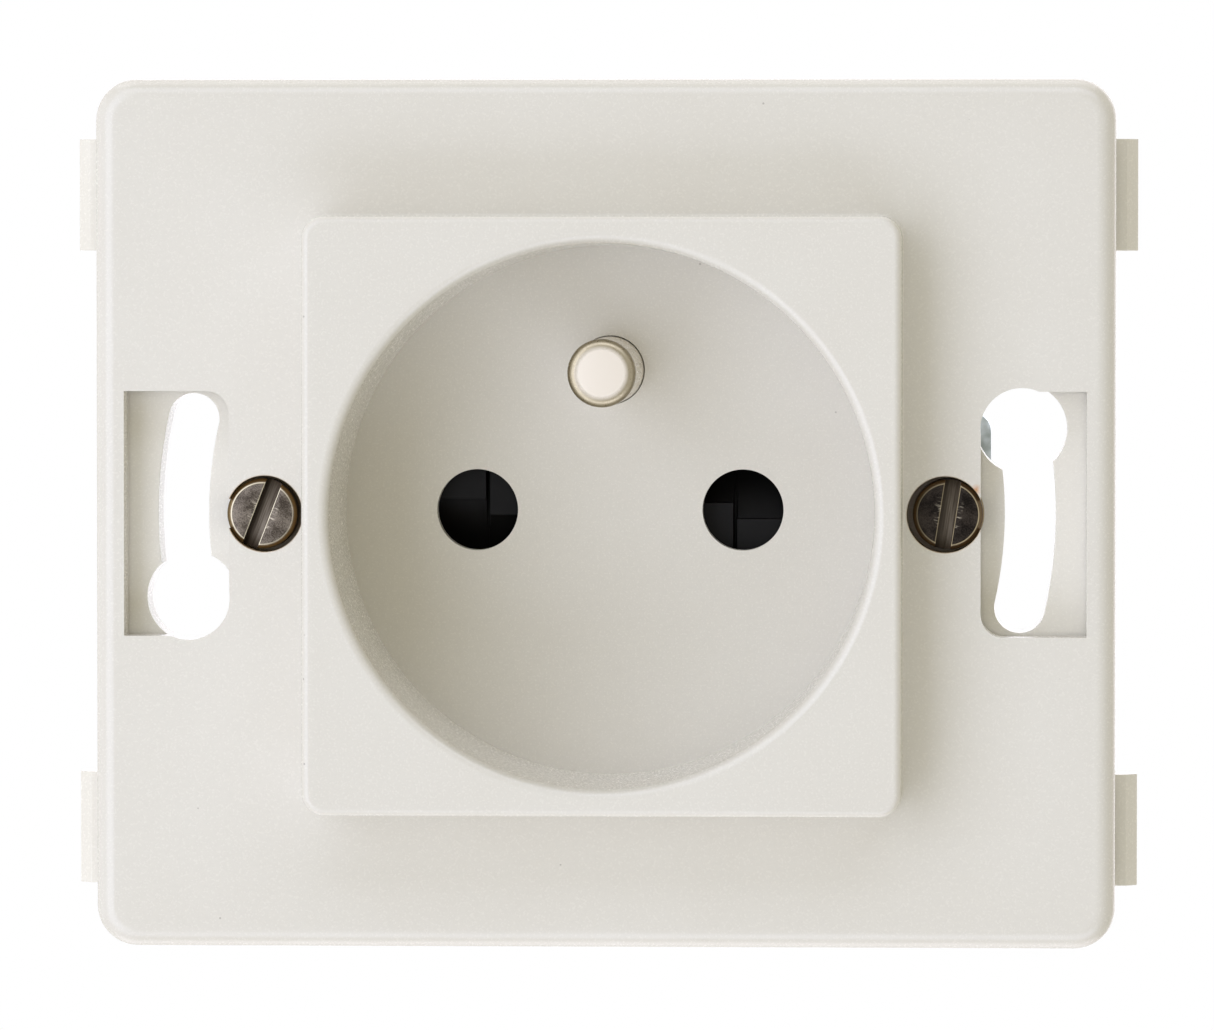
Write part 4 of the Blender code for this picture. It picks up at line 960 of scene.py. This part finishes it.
def plated_metal(name, bright, dull, blotch_mm, roughness):
    """Plated or drawn metal: bright, with blotches where it has dulled."""
    material, tree, shader = new_material(name)
    place = add_node(tree, "ShaderNodeTexCoord").outputs["Object"]
    blotch = add_node(tree, NOISE, {"Vector": place, "Scale": per_metre(blotch_mm), "Detail": 4.0})
    mask = add_node(tree, MAP_RANGE, {"Value": blotch, "From Min": 0.38, "From Max": 0.66})
    tint = add_node(tree, MIX, {"data_type": "RGBA", 0: mask, 6: linear(bright), 7: linear(dull)}).outputs[2]
    gloss = add_node(tree, MAP_RANGE, {"Value": mask, "To Min": roughness, "To Max": roughness + 0.16})
    bump = add_node(tree, BUMP, {"Height": blotch, "Strength": 0.2, "Distance": 0.01 * MM})
    set_values(tree, shader, {"Base Color": tint, "Roughness": gloss, "Metallic": 1.0, "Normal": bump})
    return material


def turned_nickel():
    """Nickel-plated brass, turned: bright end, tan edge where plugs have worn the plating, rubbed streaks."""
    material, tree, shader = new_material("turned_nickel_plated_brass")
    place = add_node(tree, "ShaderNodeTexCoord").outputs["Object"]
    axis = to_room((0.0, EARTH_Y, 0.0))
    middle = add_node(tree, "ShaderNodeMapping", {"Location": -axis, "Vector": place})
    along = add_node(tree, "ShaderNodeMapping", {"Scale": (1.0, 0.06, 1.0), "Vector": place})
    rubbed_and_lit = add_node(tree, NOISE, {"Vector": along, "Scale": per_metre(0.25), "Detail": 3.0})
    mask = add_node(tree, MAP_RANGE, {"Value": rubbed_and_lit, "From Min": 0.35, "From Max": 0.7})
    side = add_node(tree, MIX, {
        "data_type": "RGBA", 0: mask, 6: linear("EBE5D9"), 7: linear("D3CAB8"),
    }).outputs[2]
    depth = add_node(tree, "ShaderNodeSeparateXYZ", {0: middle}).outputs["Y"]
    flat = add_node(tree, VECTOR_MATH, {"operation": "MULTIPLY", 0: middle, 1: (1.0, 0.0, 1.0)})
    reach = add_node(tree, VECTOR_MATH, {"operation": "LENGTH", 0: flat}).outputs["Value"]
    worn = between(tree, depth, -EARTH_TIP_Z - BEYOND, EARTH_WORN_Z - EARTH_TIP_Z, 0.35)
    edge = add_node(tree, MIX, {"data_type": "RGBA", 0: worn, 6: side, 7: linear("998F78")}).outputs[2]
    end = between(tree, reach, BELOW_ALL, EARTH_TIP_R - 0.2, 0.35)
    tip = add_node(tree, MATH, {"operation": "MULTIPLY", 0: end, 1: worn})
    whole = add_node(tree, MIX, {"data_type": "RGBA", 0: tip, 6: edge, 7: linear("E6DED3")}).outputs[2]
    # The end is rubbed smooth and even by the plugs
    rest = add_node(tree, MATH, {"operation": "SUBTRACT", 0: 1.0, 1: tip})
    dulled = add_node(tree, MATH, {"operation": "MULTIPLY", 0: mask, 1: rest})
    gloss = add_node(tree, MAP_RANGE, {"Value": dulled, "To Min": 0.26, "To Max": 0.4})
    # Lathe lines are 0.05 mm apart, and are drawn 0.2 mm apart so that they show
    rings = add_node(tree, "ShaderNodeTexWave", {
        "wave_type": "RINGS", "rings_direction": "Y", "Scale": WAVE_PERIOD * per_metre(0.2), "Vector": middle,
    }).outputs["Fac"]
    lines = add_node(tree, MATH, {"operation": "MULTIPLY", 0: rings, 1: rest})
    bump = add_node(tree, BUMP, {"Height": lines, "Strength": 0.1, "Distance": 0.002 * MM})
    set_values(tree, shader, {"Base Color": whole, "Roughness": gloss, "Metallic": 1.0, "Normal": bump})
    return material


def worn_screw_steel(name, head, tones, rubbed_and_lit):
    """Plated screw, dulled with age and finely pitted, with painted highlights round its face's edge and
    along its slot, strongest on the side the light comes from, and a painted shadow along one wall of the
    slot.
    """
    radius, height, half = head["Radius"], head["Height"], head["Slot width"] / 2
    floor, face = height - head["Slot depth"], radius - head["Edge"]
    material, tree, shader = new_material(name)
    place = add_node(tree, "ShaderNodeAttribute", {"attribute_name": "screw_place"}).outputs["Vector"]
    part = add_node(tree, "ShaderNodeSeparateXYZ", {0: place}).outputs
    flat = add_node(tree, VECTOR_MATH, {"operation": "MULTIPLY", 0: place, 1: (1.0, 1.0, 0.0)})
    reach = add_node(tree, VECTOR_MATH, {"operation": "LENGTH", 0: flat}).outputs["Value"]
    # Pits of 0.05 mm, drawn 0.11 mm wide so that they show
    pits = add_node(tree, NOISE, {
        "Vector": place, "Scale": per_metre(0.11), "Detail": 6.0, "Roughness": 0.85,
    })
    cloud = add_node(tree, NOISE, {"Vector": place, "Scale": per_metre(0.9), "Detail": 2.0})
    pitted = add_node(tree, MATH, {"operation": "MULTIPLY_ADD", 0: cloud, 1: 0.5, 2: pits})
    speckle = add_node(tree, MAP_RANGE, {"Value": pitted, "From Min": 0.66, "From Max": 0.88})
    # Saw lines along the slot's floor, and scuffs that cross its edges
    saw_lines = ((1.0, 0.04, 1.0), 0.14, 0.35, 0.65)
    scuffs = ((0.2, 1.0, 1.0), 0.13, 0.55, 0.68)
    streaks = []
    for stretch, size, low, high in (saw_lines, scuffs):
        drawn = add_node(tree, "ShaderNodeMapping", {"Scale": stretch, "Vector": place})
        noise = add_node(tree, NOISE, {"Vector": drawn, "Scale": per_metre(size), "Detail": 2.0})
        streaks.append(add_node(tree, MAP_RANGE, {"Value": noise, "From Min": low, "From Max": high}))
    colours = {}
    for key, mask in (("face", speckle), ("groove", streaks[0])):
        first, second = tones[key]
        colours[key] = add_node(tree, MIX, {
            "data_type": "RGBA", 0: mask, 6: linear(first), 7: linear(second),
        }).outputs[2]
    side = add_node(tree, VECTOR_MATH, {"operation": "DOT_PRODUCT", 0: flat, 1: rubbed_and_lit})
    lit_side = add_node(tree, MAP_RANGE, {
        "Value": side.outputs["Value"], "From Min": -radius * MM, "From Max": radius * MM, "To Min": 0.3,
    })
    top = between(tree, part["Z"], height - 0.12, height + BEYOND, 0.02)
    sunk = between(tree, part["Z"], floor - 0.1, height - 0.1, 0.04)
    edge_band = between(tree, part["Z"], height - head["Edge"] - 0.04, height + BEYOND, 0.04)
    middle = between(tree, part["Y"], -0.7, 0.7, 0.5)
    edge_glint, scuff, slot_shadow, rim = (linear(tones[key]) for key in ("edge_glint", "scuff", "slot_shadow", "rim"))
    layers = (
        (colours["groove"], sunk, between(tree, part["X"], -half, half, 0.02)),
        # Painted shadow along one wall of the slot
        (slot_shadow, sunk, between(tree, part["X"], -half - 0.02, -half + 0.18, 0.3)),
        (scuff, top, between(tree, part["X"], -half - 0.2, half + 0.2, 0.3), streaks[1], middle),
        # Painted highlights round the face's edge and along both edges of the slot, stronger on the side the
        # light comes from
        (edge_glint, top, lit_side, between(tree, reach, face - 0.1, face - 0.05, 0.03)),
        (edge_glint, top, between(tree, part["X"], half, half + 0.03, 0.03)),
        (edge_glint, top, lit_side, between(tree, part["X"], -half - 0.04, -half, 0.04)),
        (rim, edge_band, between(tree, reach, face + 0.02, radius + BEYOND, 0.05)),
    )
    surface = colours["face"]
    for colour, mask, *others in layers:
        for other in others:
            mask = add_node(tree, MATH, {"operation": "MULTIPLY", 0: mask, 1: other})
        surface = add_node(tree, MIX, {"data_type": "RGBA", 0: mask, 6: surface, 7: colour}).outputs[2]
    gloss = add_node(tree, MAP_RANGE, {"Value": speckle, "To Min": 0.34, "To Max": 0.48})
    bump = add_node(tree, BUMP, {"Height": pits, "Strength": 0.2, "Distance": 0.006 * MM})
    set_values(tree, shader, {"Base Color": surface, "Roughness": gloss, "Metallic": 1.0, "Normal": bump})
    return material


def make_materials():
    return {
        "cover": moulded_aminoplast("moulded_ivory_aminoplast", "E5E2D9", "E1DDD3", STAIN),
        "frame": moulded_aminoplast("moulded_frame_aminoplast", "F0EDE3", "EBE7DC", None),
        "housing": moulded_phenolic("moulded_black_phenolic", "1C1B1A", "282625", 0.42, 0.5),
        "shutter": moulded_phenolic("moulded_black_shutter", "0B0A09", "121110", 0.45, 0.1),
        "nickel": turned_nickel(),
        "zinc": plated_metal("blue_zinc_plated_steel", "CDD6DA", "A9B3B3", 0.9, 0.3),
        "brass": plated_metal("folded_spring_brass", "D9B978", "B48F4E", 2.0, 0.26),
        "wire": plated_metal("drawn_spring_wire", "BDBDBB", "8E8E8C", 0.6, 0.28),
    }


# Stage

def towards(azimuth, elevation):
    """Direction from the socket, to the right of straight ahead and up."""
    turn, tilt = math.radians(azimuth), math.radians(elevation)
    return Vector((math.sin(turn) * math.cos(tilt), -math.cos(turn) * math.cos(tilt), math.sin(tilt)))


def set_camera():
    camera = add_object("camera", bpy.data.cameras.new("camera"))
    camera.data.lens = CAMERA_LENS
    camera.data.sensor_width = SENSOR_WIDTH
    camera.data.sensor_fit = "HORIZONTAL"
    camera.data.clip_start = CLIP_START
    camera.data.clip_end = CLIP_END
    away = towards(CAMERA_AZIMUTH, CAMERA_ELEVATION)
    camera.location = Vector(CAMERA_TARGET) * MM + away * CAMERA_DISTANCE * MM
    camera.rotation_euler = (-away).to_track_quat("-Z", "Y").to_euler()
    bpy.context.scene.camera = camera


def seen_directly(tree):
    """1 where the camera sees a surface itself, in gloss or through glass, and 0 where it only lights."""
    path = add_node(tree, "ShaderNodeLightPath").outputs
    seen = path["Is Camera Ray"]
    for other in ("Is Glossy Ray", "Is Transmission Ray"):
        seen = add_node(tree, MATH, {"operation": "MAXIMUM", 0: seen, 1: path[other]})
    return seen


def set_world():
    """White behind the object, and a warm soft light all round it."""
    world = bpy.data.worlds.new("studio")
    bpy.context.scene.world = world
    world.use_nodes = True
    tree = world.node_tree
    tree.nodes.clear()
    soft = add_node(tree, "ShaderNodeBackground", {
        "Color": linear(AMBIENT_COLOUR), "Strength": AMBIENT_STRENGTH,
    })
    plain = add_node(tree, "ShaderNodeBackground", {"Color": linear("FFFFFF")})
    mixed = add_node(tree, "ShaderNodeMixShader", {0: seen_directly(tree), 1: soft, 2: plain})
    add_node(tree, "ShaderNodeOutputWorld", {"Surface": mixed})


def set_floor():
    """Pale floor far below the socket, lifted to white for the camera where only the sky lights it."""
    shape = bmesh.new()
    bmesh.ops.create_grid(shape, x_segments=1, y_segments=1, size=FLOOR_HALF)
    floor = shape_object("floor", shape)
    floor.location = (0.0, 0.0, -FLOOR_DROP)
    material, tree, shader = new_material("pale_studio_floor")
    set_values(tree, shader, {"Base Color": linear("F4F2EC"), "Roughness": 0.9})
    share = add_node(tree, MATH, {"operation": "MULTIPLY", 0: seen_directly(tree), 1: FLOOR_LIFT})
    lift = add_node(tree, "ShaderNodeEmission", {"Color": linear(FLOOR_LIFT_COLOUR), "Strength": share})
    whole = add_node(tree, "ShaderNodeAddShader", {0: shader, 1: lift})
    set_values(tree, tree.nodes["Material Output"], {"Surface": whole})
    floor.data.materials.append(material)


def set_lights():
    """Large soft window of light from the left, a strip above and one below, and faint glows behind."""
    for name, colour, azimuth, elevation, size, watts in LAMPS:
        away = towards(azimuth, elevation)
        data = bpy.data.lights.new(name, "AREA")
        data.shape = "RECTANGLE"
        data.size, data.size_y = size
        data.energy = watts
        data.color = linear(colour)[:3]
        lamp = add_object(name, data)
        lamp.location = away * LAMP_DISTANCE
        lamp.rotation_euler = away.to_track_quat("Z", "Y").to_euler()


def main():
    set_camera()
    set_world()
    set_floor()
    set_lights()
    finish = make_materials()
    finish_piece(make_cover(), finish["cover"], "front_cover")
    finish_piece(make_frame(), finish["frame"], "support_frame")
    plain = (
        ("rear_housing", BLOCK_EDGE, "housing", "black_plastic"),
        ("shutter_carrier", CAGE_EDGE, "housing", "black_plastic"),
        ("live_contact", STRIP_EDGE, "brass", "contact_brass"),
        ("neutral_contact", STRIP_EDGE, "brass", "contact_brass"),
        ("live_terminal_cage", CAGE_EDGE, "zinc", "zinc_steel"),
        ("neutral_terminal_cage", CAGE_EDGE, "zinc", "zinc_steel"),
        ("earth_terminal_cage", CAGE_EDGE, "zinc", "zinc_steel"),
        ("earth_strap", STRIP_EDGE, "brass", "contact_brass"),
    )
    for node, edge, material, slot in plain:
        finish_piece(refined(node, edge), finish[material], node)
    finish_piece(make_earth_pin(), finish["nickel"], "earth_pin")
    make_screws()
    spring = make_spring(finish["wire"])
    finish_piece(spring, finish["wire"], "shutter_spring", None)
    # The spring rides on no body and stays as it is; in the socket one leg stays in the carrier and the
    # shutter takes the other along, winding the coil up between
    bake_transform(spring)
    shutter = refined("shutter", STRIP_EDGE)
    finish_piece(shutter, finish["shutter"], "shutter", "shutter_disc")
    for side in ("left", "right"):
        claw = refined(f"{side}_claw", CLAW_EDGE)
        finish_piece(claw, finish["zinc"], f"{side}_claw", f"{side}_claw_arm")
    bpy.context.scene.view_settings.view_transform = "Standard"


main()
